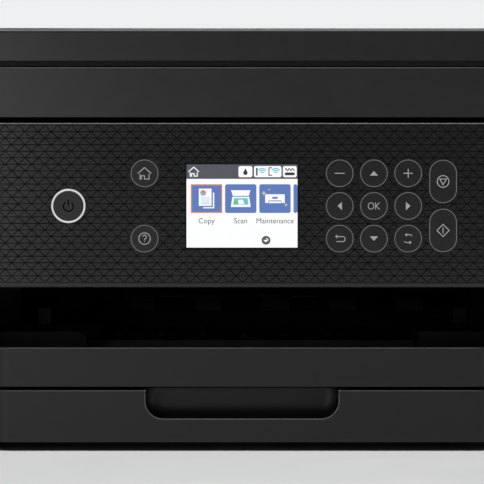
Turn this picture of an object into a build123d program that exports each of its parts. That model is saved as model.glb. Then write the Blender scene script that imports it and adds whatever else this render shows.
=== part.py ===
from build123d import *
import math
import os

# An all-in-one inkjet printer. Millimetres. +Z is up, -Y is the front and +X is to the
# viewer's right. The origin is on the floor, under the middle of the printer.

# ---------------------------------------------------------------- driving dimensions
WIDTH = 375.0
DEPTH = 347.0
CORNER_R = 14.0
WALL = 2.5
THIN_WALL = 2.0
FIT = 0.3            # clearance between neighbouring mouldings
RUN = 0.06           # radial clearance of a shaft in its hole
FOOT_H = 3.0
FOOT_R = 8.0
FOOT_IN = (37.5, 35.5)        # feet from the case's sides, and from its front and back

# heights above the floor
CASSETTE_Z = 6.0     # underside of the paper cassette
CASSETTE_TOP = 27.0
TRAY_FRONT_Z = 28.3
TRAY_FRONT_TOP = 45.8
PANEL_Z = 72.0
PANEL_TOP = 145.4
BODY_TOP = 145.8
SCANNER_Z = 147.4
SCANNER_TOP = 169.4
LID_Z = 172.3
LID_TOP = 187.0

# paper bay: what lies between the two side columns
BAY_W = 229.6        # between the walls of the columns
BAY_GAP = 0.8        # each side of the cassette and tray fronts
FRONT_CORNER_R = 11.0

FRONT = -DEPTH / 2
BACK = DEPTH / 2
BASE_Z = FOOT_H
FLOOR_TOP = BASE_Z + WALL
BAY_X = BAY_W / 2
FRONT_W = BAY_W - 2 * BAY_GAP

# control panel
PANEL_W = 316.0
PANEL_DEPTH = 16.0
PANEL_FACE = FRONT + 0.5
KEY_RISE = 0.3               # the buttons stand this far proud of the panel
PANEL_PIN_R = 2.0
PANEL_PIN_IN = 4.0           # pin axis behind the face and below the top edge
PANEL_BACK_T = 2.0
PANEL_BAY_D = 24.0           # depth of the bay that the panel closes
PANEL_SWING = 0.9            # below the panel, for its lower rear edge as it tilts
SCREEN_Z = 108.2
SCREEN_W = 49.0
SCREEN_H = 36.7
SCREEN_RIM = 0.8             # black rim round the picture
BUTTON_D = 12.0
OVAL_H = 19.0
POWER_D = 13.0
BUTTON_CLEAR = 0.2
BUTTON_FLANGE = 1.2
BUTTON_TRAVEL = 0.6
ROW_PITCH = 14.4
KEY_X = 58.2                 # middle column of the nine keys
KEY_PITCH = 15.1
OVAL_PITCH = 15.4            # from the last column of round keys
OVAL_RISE = 10.8             # each oval key above or below the screen's centre line
HOME_X = -43.0
POWER_X = -76.6

# scanner unit and its cover
GLASS_W = 310.0
GLASS_D = 228.0
GLASS_T = 3.0
GLASS_LIP = 4.0
BEZEL_T = 3.0
SCANNER_SETBACK = 7.5        # of the scanner unit's back from the case's back
HINGE_X = 130.0
HINGE_EAR_W = 16.0
HINGE_EAR_R = 5.0
SCANNER_PIN_R = 3.0
SCANNER_PIN_IN = 6.0         # hinge pins in front of the scanner unit's back
SCANNER_PIN_Z = 151.5
REAR_BEVEL = 4.0
COVER_SETBACK = 2.0          # of the document cover's back from the scanner unit's
COVER_PIN_R = 2.0
COVER_PIN_Z = 175.5
SKIRT_IN = 2.0               # of the cover's lower skirt from the cover's edge
SKIRT_T = 2.0
SKIRT_Z = 170.0
SKIRT_SHORT = 30.0           # the skirt ends this far in front of the cover's back
MAT_W = 316.0
MAT_D = 232.0
RAIL_W = 6.0
RAIL_H = 3.0
RAIL_Y = -15.0
SCAN_BAR_X = -146.0
SCAN_BAR_W = 18.0
SCAN_BAR_L = 222.0

# paper cassette and output tray
CASSETTE_GAP = 2.5           # between the cassette and the duplexer behind it
CASSETTE_FRONT_D = 15.5
CASSETTE_RIM = 28.0
RECESS_W = 86.0
RECESS_R = 8.0
RECESS_Z = 14.0
RECESS_D = 12.0
RECESS_SCOOP = 6.0           # radius where the recess's floor turns up into its back
GUIDE_X = 106.0              # half of the widest sheet, plus 1
GUIDE_FROM_FRONT = 113.5
GUIDE_L = 100.0
TRAY_W = 216.0
TRAY_L = 119.5
LEDGE_Z = 33.7               # top of the ledges that carry the tray
SLIDE_T = 2.5
TRAY_PLATE_Z = 38.0
TRAY_PLATE_T = 2.5
STOP_W = 60.0
STOP_L = 26.0
STOP_PIN_R = 0.9

# print mechanism
PLATE_T = 1.5
PLATE_X = 168.0              # inner face of the chassis side plates
CHASSIS_TOP = 125.0
REAR_PLATE_BEHIND = 30.0     # chassis rear plate behind the feed roller's axis
REAR_PLATE_Z = 66.0
RAIL_SHAFT_BEHIND = 17.0     # carriage shaft behind the feed roller's axis
RAIL_SHAFT_Z = 80.0
RAIL_SHAFT_R = 4.0
MODULE = 1.0
GEAR_W = 5.0
GEAR_X = -176.0
FEED_TEETH = 40
EJECT_TEETH = 26
PICKUP_TEETH = 27
PINION_TEETH = 12
FEED_FROM_BACK = 105.5       # feed roller's axis in front of the back of the case
FEED_Z = 56.0
FEED_R = 5.0
SHAFT_R = 3.0
EJECT_R = 6.0
EJECT_DIR = 179.2            # degrees, from the feed roller towards the eject roller
PICKUP_R = 15.0
PICKUP_DIR = -17.4
STUB_R = 2.5
MOTOR_R = 13.0
MOTOR_L = 26.0
MOTOR_SHAFT_R = 1.5
PULLEY_X = 150.0
PULLEY_Z = 100.0
PULLEY_R = 6.0
PULLEY_W = 7.0
BELT_T = 1.2
CARRIAGE_W = 84.0
CARRIAGE_X = 123.0           # where the carriage parks
CARRIAGE_L = 92.0
CARRIAGE_Z = (67.0, 124.0)
HEAD_Z = 64.0
CARTRIDGES = 4
PLATEN_TOP = 62.0

# vents
LOUVRES = 7                  # under the electronics, on each side
LOUVRE_PITCH = 9.0
LOUVRE_W = 4.0
LOUVRE_L = 36.0
LOUVRE_X = 145.0
SIDE_VENTS = 9               # low on each outer wall
SIDE_VENT_PITCH = 10.0
SIDE_VENT_W = 5.0
SIDE_VENT_Z = (26.0, 46.0)
REAR_SLOTS = 6               # above the duplexer
REAR_SLOT_PITCH = 4.0
REAR_SLOT_W = 1.6
REAR_SLOT_L = 160.0
VENT_PITCH = 11.0            # in the power supply's lid
VENT_W = 4.0
SUPPLY_TOP = 58.0

# back of the printer
DUPLEX_W = 220.0
DUPLEX_Z = (8.0, 104.0)
DUPLEX_D = 40.0
DUPLEX_RIBS = 9
DUPLEX_RIB_W = 2.0
TURN_R = 36.0                # the hollow that turns the paper
TURN_IN = 6.0                # its axis, in front of the duplexer
BOARD_X = 171.2
BOARD_T = 1.6
INLET_X = -150.0
INLET_Z = 34.0
INLET_W = 18.0
INLET_H = 10.0
USB_W = 12.0
USB_X = BOARD_X - USB_W / 2  # the socket stands on the board
USB_Z = 36.0
USB_H = 11.0
PILLAR_X = 178.0
PILLAR_R = 4.0
PILLAR_IN = (23.5, 13.5)     # pillars from the front and back of the case
SCREW_R = 1.25
SCREW_HEAD_H = 0.7
SCREW_HEAD_R = 2.8
SCREW_SLOT = (1.8, 0.4)      # half length and half width of each arm of the cross

os.makedirs("parts", exist_ok=True)


# ---------------------------------------------------------------- helpers
def save(builder, label):
    """Label a finished piece and write it."""
    builder.part.label = label
    export_step(builder.part, f"parts/{label}.step")


def block(x0, x1, y0, y1, z0, z1, mode=Mode.ADD):
    """A box between two corners, in the part that is being built."""
    with Locations(((x0 + x1) / 2, (y0 + y1) / 2, (z0 + z1) / 2)):
        Box(x1 - x0, y1 - y0, z1 - z0, mode=mode)


def rod_x(x0, x1, y, z, radius, mode=Mode.ADD):
    """A round bar along X."""
    with Locations(Location(((x0 + x1) / 2, y, z), (0, 90, 0))):
        Cylinder(radius, x1 - x0, mode=mode)


def rod_y(x, y0, y1, z, radius, mode=Mode.ADD):
    """A round bar along Y."""
    with Locations(Location((x, (y0 + y1) / 2, z), (90, 0, 0))):
        Cylinder(radius, y1 - y0, mode=mode)


def rod_z(x, y, z0, z1, radius, mode=Mode.ADD):
    """A round bar along Z."""
    with Locations((x, y, (z0 + z1) / 2)):
        Cylinder(radius, z1 - z0, mode=mode)


def slab(x0, x1, y0, y1, z0, z1, radius, mode=Mode.ADD):
    """A plate with four rounded upright corners."""
    with BuildSketch(Plane.XY.offset(z0)) as outline:
        with Locations(((x0 + x1) / 2, (y0 + y1) / 2)):
            RectangleRounded(x1 - x0, y1 - y0, radius)
    extrude(outline.sketch, amount=z1 - z0, mode=mode)


def gear_teeth(x0, x1, axis, teeth, first_angle):
    """A spur gear about X: a root disc and its tapered teeth, the first one at first_angle."""
    pitch_r = MODULE * teeth / 2
    root_r = pitch_r - 1.15 * MODULE
    tip_r = pitch_r + 0.85 * MODULE
    pitch = math.pi * MODULE
    root_half = 0.29 * pitch / root_r
    tip_half = 0.11 * pitch / tip_r
    points = []
    for i in range(teeth):
        middle = first_angle + 2 * math.pi * i / teeth
        for radius, turn in ((root_r, -root_half), (tip_r, -tip_half), (tip_r, tip_half), (root_r,
                                                                                           root_half)):
            points.append((radius * math.cos(middle + turn), radius * math.sin(middle + turn)))
    plane = Plane(origin=(x0, axis[0], axis[1]), x_dir=(0, 1, 0), z_dir=(1, 0, 0))
    with BuildSketch(plane) as outline:
        Polygon(*points, align=None)
    extrude(outline.sketch, amount=x1 - x0)


def meshing_angle(angle_a, teeth_a, teeth_b, direction):
    """The first tooth's angle on gear b, so that a gap of b faces a tooth of a along direction."""
    turns_a = (direction - angle_a) * teeth_a / (2 * math.pi)
    return direction + math.pi - (0.5 - turns_a) * 2 * math.pi / teeth_b


def polar(centre, distance, degrees):
    """A point at a distance and a direction from another, in the YZ plane."""
    turn = math.radians(degrees)
    return (centre[0] + distance * math.cos(turn), centre[1] + distance * math.sin(turn))


# ---------------------------------------------------------------- places worked out from the above
SCANNER_BACK = BACK - SCANNER_SETBACK
SCANNER_PIN_Y = SCANNER_BACK - SCANNER_PIN_IN
COVER_BACK = SCANNER_BACK - COVER_SETBACK
CASSETTE_BACK = BACK - DUPLEX_D - CASSETTE_GAP
PILLAR_Y = (FRONT + PILLAR_IN[0], BACK - PILLAR_IN[1])
FEED_AXIS = (BACK - FEED_FROM_BACK, FEED_Z)      # y, z
RAIL_SHAFT = (FEED_AXIS[0] + RAIL_SHAFT_BEHIND, RAIL_SHAFT_Z)
REAR_PLATE_Y = FEED_AXIS[0] + REAR_PLATE_BEHIND
PULLEY_Y = (REAR_PLATE_Y - PULLEY_W - 3, REAR_PLATE_Y - 3)
FEED_PITCH_R = MODULE * FEED_TEETH / 2
TRANSFER_AXIS = polar(FEED_AXIS, 2 * FEED_PITCH_R, EJECT_DIR)
EJECT_AXIS = polar(TRANSFER_AXIS, FEED_PITCH_R + MODULE * EJECT_TEETH / 2, EJECT_DIR)
PICKUP_AXIS = polar(FEED_AXIS, FEED_PITCH_R + MODULE * PICKUP_TEETH / 2, PICKUP_DIR)
PINION_AXIS = polar(FEED_AXIS, FEED_PITCH_R + MODULE * PINION_TEETH / 2, -90)
CHASSIS_Y = (EJECT_AXIS[0] - 15, PICKUP_AXIS[0] + 15)
PLATEN_Y = (EJECT_AXIS[0] + EJECT_R + 7, FEED_AXIS[0] - FEED_R - 5)
CARRIAGE_Y = (RAIL_SHAFT[0] - 5 - CARRIAGE_L, RAIL_SHAFT[0] - 5)
BAY_WALL_Y = CHASSIS_Y[0] - 20       # the walls of the paper bay end here
LINER_BACK = CHASSIS_Y[0] - 2
HEAD_Y = (PLATEN_Y[0] + 6, PLATEN_Y[1] - 6)
CARRIAGE_BAY_Y = (CARRIAGE_Y[0] - 48, RAIL_SHAFT[0] + 7)
OVAL_X = KEY_X + KEY_PITCH + OVAL_PITCH
TRAY_BACK = FRONT + TRAY_L
PANEL_X = PANEL_W / 2
PANEL_PIN_Y = PANEL_FACE + PANEL_PIN_IN
PANEL_PIN_Z = PANEL_TOP - PANEL_PIN_IN
PANEL_BAY_Y = FRONT + PANEL_BAY_D
PANEL_SIDE_X = PANEL_X + FIT
SHELF_Z = PANEL_Z - PANEL_SWING      # top of the shelves beside the slot, under the panel
GEAR_X1 = GEAR_X + GEAR_W
PLATE_OUT = PLATE_X + PLATE_T
SHAFT_END = PLATE_OUT + 1.0
COVER_IN = WIDTH / 2 - WALL
GLASS_Y = (SCANNER_BACK + FRONT) / 2 - 6.0


# ---------------------------------------------------------------- case
with BuildPart() as base_tray:
    slab(-COVER_IN + FIT, COVER_IN - FIT, FRONT + WALL + FIT, BACK - WALL - FIT, BASE_Z, FLOOR_TOP,
         CORNER_R - WALL)
    # the cassette front hangs in front of the floor
    block(-BAY_X, BAY_X, FRONT, FRONT + CASSETTE_FRONT_D + 0.5, BASE_Z, FLOOR_TOP, Mode.SUBTRACT)
    for side in (-1, 1):
        for y in PILLAR_Y:
            rod_z(side * PILLAR_X, y, FLOOR_TOP, BODY_TOP - WALL, PILLAR_R)
            rod_z(side * PILLAR_X, y, BODY_TOP - WALL - 10, BODY_TOP - WALL, SCREW_R + RUN, Mode.SUBTRACT)
        # vent louvres under the electronics
        for i in range(LOUVRES):
            y = FRONT + 78.5 + LOUVRE_PITCH * i
            block(side * LOUVRE_X - LOUVRE_L / 2, side * LOUVRE_X + LOUVRE_L / 2, y, y + LOUVRE_W, BASE_Z,
                  FLOOR_TOP,
                  Mode.SUBTRACT)
    # rails that keep the cassette straight behind the bay walls
    for side in (-1, 1):
        block(side * (BAY_X + 1) - 1, side * (BAY_X + 1) + 1, BAY_WALL_Y + 2, CASSETTE_BACK, FLOOR_TOP,
              FLOOR_TOP + 4)
save(base_tray, "base_tray")


def side_cover(side):
    """The left (-1) or right (1) shell: outer wall, front column, rear return and bay wall."""
    with BuildPart() as cover:
        slab(-WIDTH / 2, WIDTH / 2, FRONT, BACK, BASE_Z, BODY_TOP, CORNER_R)
        fillet(cover.edges().group_by(Axis.Z)[-1], 0.8)
        slab(-COVER_IN, COVER_IN, FRONT + WALL, BACK - WALL, BASE_Z, BODY_TOP, CORNER_R - WALL,
             Mode.SUBTRACT)
        # the middle of the ring and the far half belong to other mouldings
        low, high = sorted((-side * (WIDTH / 2 + 1), side * BAY_X))
        block(low, high, FRONT - 1, BACK + 1, BASE_Z - 1, BODY_TOP + 1, Mode.SUBTRACT)
        # the front return stops beside the control panel
        low, high = sorted((side * BAY_X, side * PANEL_SIDE_X))
        block(low, high, FRONT - 1, FRONT + WALL + 1, SHELF_Z, BODY_TOP + 1, Mode.SUBTRACT)
        # wall of the paper bay, with the ledge that carries the output tray
        low, high = sorted((side * BAY_X, side * (BAY_X + WALL)))
        block(low, high, FRONT + WALL / 2, BAY_WALL_Y, FLOOR_TOP + FIT, SHELF_Z)
        low, high = sorted((side * (TRAY_W / 2 - 2), side * BAY_X))
        block(low, high, FRONT + 14, BAY_WALL_Y, LEDGE_Z - 2.5, LEDGE_Z)
        # shelf under the control panel and the wall at its end
        low, high = sorted((side * BAY_X, side * (PANEL_SIDE_X + THIN_WALL)))
        block(low, high, FRONT + WALL / 2, PANEL_BAY_Y, SHELF_Z - WALL, SHELF_Z)
        low, high = sorted((side * PANEL_SIDE_X, side * (PANEL_SIDE_X + THIN_WALL)))
        block(low, high, FRONT + WALL / 2, PANEL_BAY_Y, SHELF_Z - WALL, BODY_TOP - 1)
        # bearing of the control panel's pin
        low, high = sorted((side * PANEL_SIDE_X, side * (PANEL_SIDE_X + 5)))
        block(low, high, FRONT + WALL / 2, PANEL_PIN_Y + 4, PANEL_PIN_Z - 4, BODY_TOP - 1)
        rod_x(low, high, PANEL_PIN_Y, PANEL_PIN_Z, PANEL_PIN_R + RUN, Mode.SUBTRACT)
        # rear cut-out for the mains inlet or the data socket
        if side < 0:
            block(INLET_X - INLET_W / 2 - FIT, INLET_X + INLET_W / 2 + FIT, BACK - WALL - 1, BACK + 1,
                  INLET_Z - INLET_H / 2 - FIT, INLET_Z + INLET_H / 2 + FIT, Mode.SUBTRACT)
        else:
            block(USB_X - USB_W / 2 - FIT, USB_X + USB_W / 2 + FIT, BACK - WALL - 1, BACK + 1,
                  USB_Z - USB_H / 2 - FIT, USB_Z + USB_H / 2 + FIT, Mode.SUBTRACT)
        # vent slots low on the outer wall
        low, high = sorted((side * (COVER_IN - 1), side * (WIDTH / 2 + 1)))
        for i in range(SIDE_VENTS):
            y = FRONT + 43.5 + SIDE_VENT_PITCH * i
            block(low, high, y, y + SIDE_VENT_W, SIDE_VENT_Z[0], SIDE_VENT_Z[1], Mode.SUBTRACT)
    return cover


save(side_cover(-1), "left_cover")
save(side_cover(1), "right_cover")

with BuildPart() as rear_cover:
    block(-BAY_X + FIT, BAY_X - FIT, BACK - WALL, BACK, BASE_Z, BODY_TOP)
    block(-DUPLEX_W / 2 - FIT, DUPLEX_W / 2 + FIT, BACK - WALL - 1, BACK + 1, DUPLEX_Z[0] - FIT,
          DUPLEX_Z[1] + FIT,
          Mode.SUBTRACT)
    # inner flanges that stiffen the wall and lap behind its seams with the duplexer and the side covers
    block(-DUPLEX_W / 2, DUPLEX_W / 2, BACK - 12, BACK - WALL, DUPLEX_Z[1] + 4, DUPLEX_Z[1] + 6)
    for side in (-1, 1):
        low, high = sorted((side * (DUPLEX_W / 2 - 1 + FIT), side * (BAY_X + 8)))
        block(low, high, BACK - 2 * WALL - FIT, BACK - WALL - FIT, FLOOR_TOP + FIT, BODY_TOP - WALL - FIT)
        low, high = sorted((side * (BAY_X - 3), side * (BAY_X - 1)))
        block(low, high, BACK - 2 * WALL - FIT, BACK - WALL / 2, FLOOR_TOP + FIT, BODY_TOP - WALL - FIT)
    for i in range(REAR_SLOTS):
        z = DUPLEX_Z[1] + 8 + REAR_SLOT_PITCH * i
        block(-REAR_SLOT_L / 2, REAR_SLOT_L / 2, BACK - 1, BACK + 1, z, z + REAR_SLOT_W, Mode.SUBTRACT)
save(rear_cover, "rear_cover")

with BuildPart() as top_deck:
    slab(-COVER_IN + FIT, COVER_IN - FIT, FRONT + WALL + FIT, BACK - 2 * WALL - 2 * FIT, BODY_TOP - WALL,
         BODY_TOP,
         CORNER_R - WALL)
    # bay of the control panel at the front
    block(-PANEL_SIDE_X - 6, PANEL_SIDE_X + 6, FRONT, PANEL_BAY_Y, BODY_TOP - WALL - 1, BODY_TOP + 1,
          Mode.SUBTRACT)
    for side in (-1, 1):
        low, high = sorted((side * PANEL_SIDE_X, side * COVER_IN))
        block(low, high, FRONT, PANEL_BAY_Y + FIT, BODY_TOP - WALL - 1, BODY_TOP + 1, Mode.SUBTRACT)
    # mouth of the carriage bay with its skirt
    bay_x = PLATE_X - 8
    slab(-bay_x - 2, bay_x + 2, CARRIAGE_BAY_Y[0] - 2, CARRIAGE_BAY_Y[1] + 2, BODY_TOP - 18,
         BODY_TOP - WALL, 6)
    slab(-bay_x, bay_x, CARRIAGE_BAY_Y[0], CARRIAGE_BAY_Y[1], BODY_TOP - 19, BODY_TOP + 1, 4, Mode.SUBTRACT)
    # wall behind the control panel and the ceiling of the output slot
    block(-PANEL_X + 2, PANEL_X - 2, PANEL_BAY_Y + FIT, PANEL_BAY_Y + FIT + WALL, PANEL_Z, BODY_TOP - WALL)
    block(-BAY_X + FIT, BAY_X - FIT, PANEL_BAY_Y + FIT, BAY_WALL_Y, PANEL_Z, PANEL_Z + WALL)
    # ears of the scanner hinge
    for side in (-1, 1):
        x0 = side * HINGE_X - HINGE_EAR_W / 2
        x1 = side * HINGE_X + HINGE_EAR_W / 2
        block(x0, x1, SCANNER_PIN_Y - HINGE_EAR_R, SCANNER_PIN_Y + HINGE_EAR_R, BODY_TOP - WALL,
              SCANNER_PIN_Z)
        rod_x(x0, x1, SCANNER_PIN_Y, SCANNER_PIN_Z, HINGE_EAR_R)
        rod_x(x0, x1, SCANNER_PIN_Y, SCANNER_PIN_Z, SCANNER_PIN_R + RUN, Mode.SUBTRACT)
        for y in PILLAR_Y:
            rod_z(side * PILLAR_X, y, BODY_TOP - WALL, BODY_TOP, SCREW_R + FIT, Mode.SUBTRACT)
save(top_deck, "top_deck")

with BuildPart() as rubber_feet:
    for x in (FOOT_IN[0] - WIDTH / 2, WIDTH / 2 - FOOT_IN[0]):
        for y in (FRONT + FOOT_IN[1], BACK - FOOT_IN[1]):
            rod_z(x, y, 0, FOOT_H, FOOT_R)
    chamfer(rubber_feet.edges().group_by(Axis.Z)[0], 0.8)
save(rubber_feet, "rubber_feet")

with BuildPart() as case_screws:
    for side in (-1, 1):
        for y in PILLAR_Y:
            rod_z(side * PILLAR_X, y, BODY_TOP - WALL - 8, BODY_TOP, SCREW_R)
            rod_z(side * PILLAR_X, y, BODY_TOP, BODY_TOP + SCREW_HEAD_H, SCREW_HEAD_R)
            for half_x, half_y in (SCREW_SLOT, SCREW_SLOT[::-1]):
                block(side * PILLAR_X - half_x, side * PILLAR_X + half_x, y - half_y, y + half_y,
                      BODY_TOP + SCREW_HEAD_H - 0.4, BODY_TOP + SCREW_HEAD_H + 1, Mode.SUBTRACT)
save(case_screws, "case_screws")

# ---------------------------------------------------------------- output slot
SHELF_TOP = 51.9
SHELF_LEFT_X = -70.0
SHELF_RIGHT_X = 79.5
LINER_Z = 43.4
LINER_FLOOR = 46.9
FLOOR_FRONT = FRONT + 36.5   # behind the sweep of the paper stop
STEM_R = 0.8
GUIDE_POST_Y = FRONT + 53.5
GUIDE_POST_X = (-93.2, 102.5)
GUIDE_FLAG = (5.8, 3.0)      # width and thickness of the flag on each post
GUIDE_FLAG_Z = (54.0, 61.2)

with BuildPart() as slot_liner:
    block(-BAY_X + FIT, SHELF_LEFT_X, FRONT + 16, LINER_BACK, LINER_Z, SHELF_TOP)
    fillet(slot_liner.edges().filter_by(Axis.Y).group_by(Axis.X)[-1].group_by(Axis.Z)[-1], 4)
    block(SHELF_RIGHT_X, BAY_X - FIT, FRONT + 16, LINER_BACK, LINER_Z, SHELF_TOP)
    block(SHELF_LEFT_X - 5, SHELF_RIGHT_X, FLOOR_FRONT, LINER_BACK, LINER_Z, LINER_FLOOR)
    for i in range(7):
        block(-60 + 20 * i, -57.6 + 20 * i, FLOOR_FRONT + 29, LINER_BACK, LINER_FLOOR, LINER_FLOOR + 1.5)
    block(-BAY_X + FIT, BAY_X - FIT, LINER_BACK - 2, LINER_BACK, LINER_FLOOR, 56)
    # the shelves are hollow mouldings
    block(-BAY_X + 4, SHELF_LEFT_X - 8, FRONT + 18.5, LINER_BACK - 4, LINER_Z, SHELF_TOP - THIN_WALL,
          Mode.SUBTRACT)
    block(SHELF_RIGHT_X + 3, BAY_X - 4, FRONT + 18.5, LINER_BACK - 4, LINER_Z, SHELF_TOP - THIN_WALL,
          Mode.SUBTRACT)
save(slot_liner, "slot_liner")

with BuildPart() as slot_guides:
    for x in GUIDE_POST_X:
        rod_z(x, GUIDE_POST_Y, SHELF_TOP, GUIDE_FLAG_Z[0] + 2, STEM_R)
        block(x - GUIDE_FLAG[0] / 2, x + GUIDE_FLAG[0] / 2, GUIDE_POST_Y - GUIDE_FLAG[1] / 2,
              GUIDE_POST_Y + GUIDE_FLAG[1] / 2, GUIDE_FLAG_Z[0], GUIDE_FLAG_Z[1])
save(slot_guides, "slot_guides")

# ---------------------------------------------------------------- print mechanism
with BuildPart() as chassis:
    for side in (-1, 1):
        low, high = sorted((side * PLATE_X, side * PLATE_OUT))
        block(low, high, CHASSIS_Y[0], CHASSIS_Y[1], FLOOR_TOP, CHASSIS_TOP)
        low, high = sorted((side * PLATE_X, side * (PLATE_X - 12)))
        block(low, high, CHASSIS_Y[0], CHASSIS_Y[0] + 22, FLOOR_TOP, FLOOR_TOP + PLATE_T)
    block(-PLATE_OUT, PLATE_OUT, REAR_PLATE_Y, REAR_PLATE_Y + PLATE_T, REAR_PLATE_Z, CHASSIS_TOP)
    rod_x(-PLATE_OUT - 1, PLATE_OUT + 1, RAIL_SHAFT[0], RAIL_SHAFT[1], RAIL_SHAFT_R + RUN, Mode.SUBTRACT)
    rod_x(-PLATE_OUT - 1, PLATE_OUT + 1, FEED_AXIS[0], FEED_AXIS[1], FEED_R + RUN, Mode.SUBTRACT)
    rod_x(-PLATE_OUT - 1, PLATE_OUT + 1, EJECT_AXIS[0], EJECT_AXIS[1], SHAFT_R + RUN, Mode.SUBTRACT)
    rod_x(-PLATE_OUT - 1, PLATE_OUT + 1, PICKUP_AXIS[0], PICKUP_AXIS[1], SHAFT_R + RUN, Mode.SUBTRACT)
    rod_x(-PLATE_OUT - 1, -PLATE_X + 1, PINION_AXIS[0], PINION_AXIS[1], SHAFT_R, Mode.SUBTRACT)
    rod_y(-PULLEY_X, REAR_PLATE_Y - 1, REAR_PLATE_Y + 3, PULLEY_Z, SHAFT_R, Mode.SUBTRACT)
    # stub axles of the transfer gear and the idler pulley
    rod_x(GEAR_X - 1, -PLATE_X, TRANSFER_AXIS[0], TRANSFER_AXIS[1], STUB_R)
    rod_y(PULLEY_X, PULLEY_Y[0] - 1, REAR_PLATE_Y + 1, PULLEY_Z, MOTOR_SHAFT_R)
    # folded lip that stiffens the rear plate
    block(-PLATE_X, PLATE_X, REAR_PLATE_Y, REAR_PLATE_Y + 10, CHASSIS_TOP - PLATE_T, CHASSIS_TOP)
save(chassis, "chassis")

with BuildPart() as carriage_rail:
    rod_x(-SHAFT_END, SHAFT_END, RAIL_SHAFT[0], RAIL_SHAFT[1], RAIL_SHAFT_R)
    chamfer(carriage_rail.edges(), 0.6)
save(carriage_rail, "carriage_rail")

with BuildPart() as encoder_strip:
    strip_y = REAR_PLATE_Y - 3.4
    block(-PLATE_X + FIT, PLATE_X - FIT, strip_y, strip_y + 0.3, 112, 118)
    for side in (-1, 1):
        low, high = sorted((side * (PLATE_X - FIT), side * (PLATE_X - 6)))
        block(low, high, strip_y, REAR_PLATE_Y, 111, 119)
save(encoder_strip, "encoder_strip")

with BuildPart() as drive_belt:
    belt_in = PULLEY_R + FIT
    with BuildSketch(Plane.XZ.offset(-PULLEY_Y[0] - 1)):
        with Locations((0, PULLEY_Z)):
            SlotCenterToCenter(2 * PULLEY_X, 2 * (belt_in + BELT_T))
            SlotCenterToCenter(2 * PULLEY_X, 2 * belt_in, mode=Mode.SUBTRACT)
    extrude(amount=-(PULLEY_Y[1] - PULLEY_Y[0] - 2))
save(drive_belt, "drive_belt")

with BuildPart() as carriage_motor:
    rod_y(-PULLEY_X, REAR_PLATE_Y + PLATE_T, REAR_PLATE_Y + PLATE_T + MOTOR_L, PULLEY_Z, MOTOR_R)
    fillet(carriage_motor.edges().group_by(Axis.Y)[-1], 2)
    rod_y(-PULLEY_X, REAR_PLATE_Y, REAR_PLATE_Y + PLATE_T + 14, PULLEY_Z, MOTOR_SHAFT_R + RUN,
          Mode.SUBTRACT)
save(carriage_motor, "carriage_motor")

with BuildPart() as feed_motor:
    rod_x(-PLATE_X, -PLATE_X + MOTOR_L, PINION_AXIS[0], PINION_AXIS[1], MOTOR_R)
    fillet(feed_motor.edges().group_by(Axis.X)[-1], 2)
    rod_x(-PLATE_X - 1, -PLATE_X + 14, PINION_AXIS[0], PINION_AXIS[1], MOTOR_SHAFT_R + RUN, Mode.SUBTRACT)
save(feed_motor, "feed_motor")


def pulley(side, shaft_end):
    """A flanged belt pulley about Y. With a shaft it is driven, else it turns on a stub axle."""
    with BuildPart() as wheel:
        rod_y(side * PULLEY_X, PULLEY_Y[0], PULLEY_Y[1], PULLEY_Z, PULLEY_R)
        rod_y(side * PULLEY_X, PULLEY_Y[0], PULLEY_Y[0] + 0.7, PULLEY_Z, PULLEY_R + 2)
        rod_y(side * PULLEY_X, PULLEY_Y[1] - 0.7, PULLEY_Y[1], PULLEY_Z, PULLEY_R + 2)
        if shaft_end > 0:
            rod_y(side * PULLEY_X, PULLEY_Y[0], shaft_end, PULLEY_Z, MOTOR_SHAFT_R)
        else:
            rod_y(side * PULLEY_X, PULLEY_Y[0], PULLEY_Y[1], PULLEY_Z, MOTOR_SHAFT_R + RUN, Mode.SUBTRACT)
    return wheel


save(pulley(-1, REAR_PLATE_Y + PLATE_T + 12), "motor_pulley")
save(pulley(1, 0), "idler_pulley")

FEED_ANGLE = 0.0
TRANSFER_ANGLE = meshing_angle(FEED_ANGLE, FEED_TEETH, FEED_TEETH, math.radians(EJECT_DIR))
EJECT_ANGLE = meshing_angle(TRANSFER_ANGLE, FEED_TEETH, EJECT_TEETH, math.radians(EJECT_DIR))
PICKUP_ANGLE = meshing_angle(FEED_ANGLE, FEED_TEETH, PICKUP_TEETH, math.radians(PICKUP_DIR))
PINION_ANGLE = meshing_angle(FEED_ANGLE, FEED_TEETH, PINION_TEETH, math.radians(-90))

with BuildPart() as feed_roller:
    rod_x(GEAR_X - 1, SHAFT_END, FEED_AXIS[0], FEED_AXIS[1], FEED_R)
    gear_teeth(GEAR_X, GEAR_X1, FEED_AXIS, FEED_TEETH, FEED_ANGLE)
save(feed_roller, "feed_roller")

with BuildPart() as eject_roller:
    rod_x(GEAR_X - 1, SHAFT_END, EJECT_AXIS[0], EJECT_AXIS[1], SHAFT_R)
    gear_teeth(GEAR_X, GEAR_X1, EJECT_AXIS, EJECT_TEETH, EJECT_ANGLE)
    for i in range(6):
        rod_x(-97 + 36 * i, -83 + 36 * i, EJECT_AXIS[0], EJECT_AXIS[1], EJECT_R)
save(eject_roller, "eject_roller")

with BuildPart() as pickup_roller:
    rod_x(GEAR_X - 1, SHAFT_END, PICKUP_AXIS[0], PICKUP_AXIS[1], SHAFT_R)
    gear_teeth(GEAR_X, GEAR_X1, PICKUP_AXIS, PICKUP_TEETH, PICKUP_ANGLE)
    for x in (-24, 6):
        rod_x(x, x + 18, PICKUP_AXIS[0], PICKUP_AXIS[1], PICKUP_R)
save(pickup_roller, "pickup_roller")

with BuildPart() as transfer_gear:
    gear_teeth(GEAR_X, GEAR_X1, TRANSFER_AXIS, FEED_TEETH, TRANSFER_ANGLE)
    rod_x(GEAR_X - 1, GEAR_X1 + 1, TRANSFER_AXIS[0], TRANSFER_AXIS[1], STUB_R + RUN, Mode.SUBTRACT)
save(transfer_gear, "transfer_gear")

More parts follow.
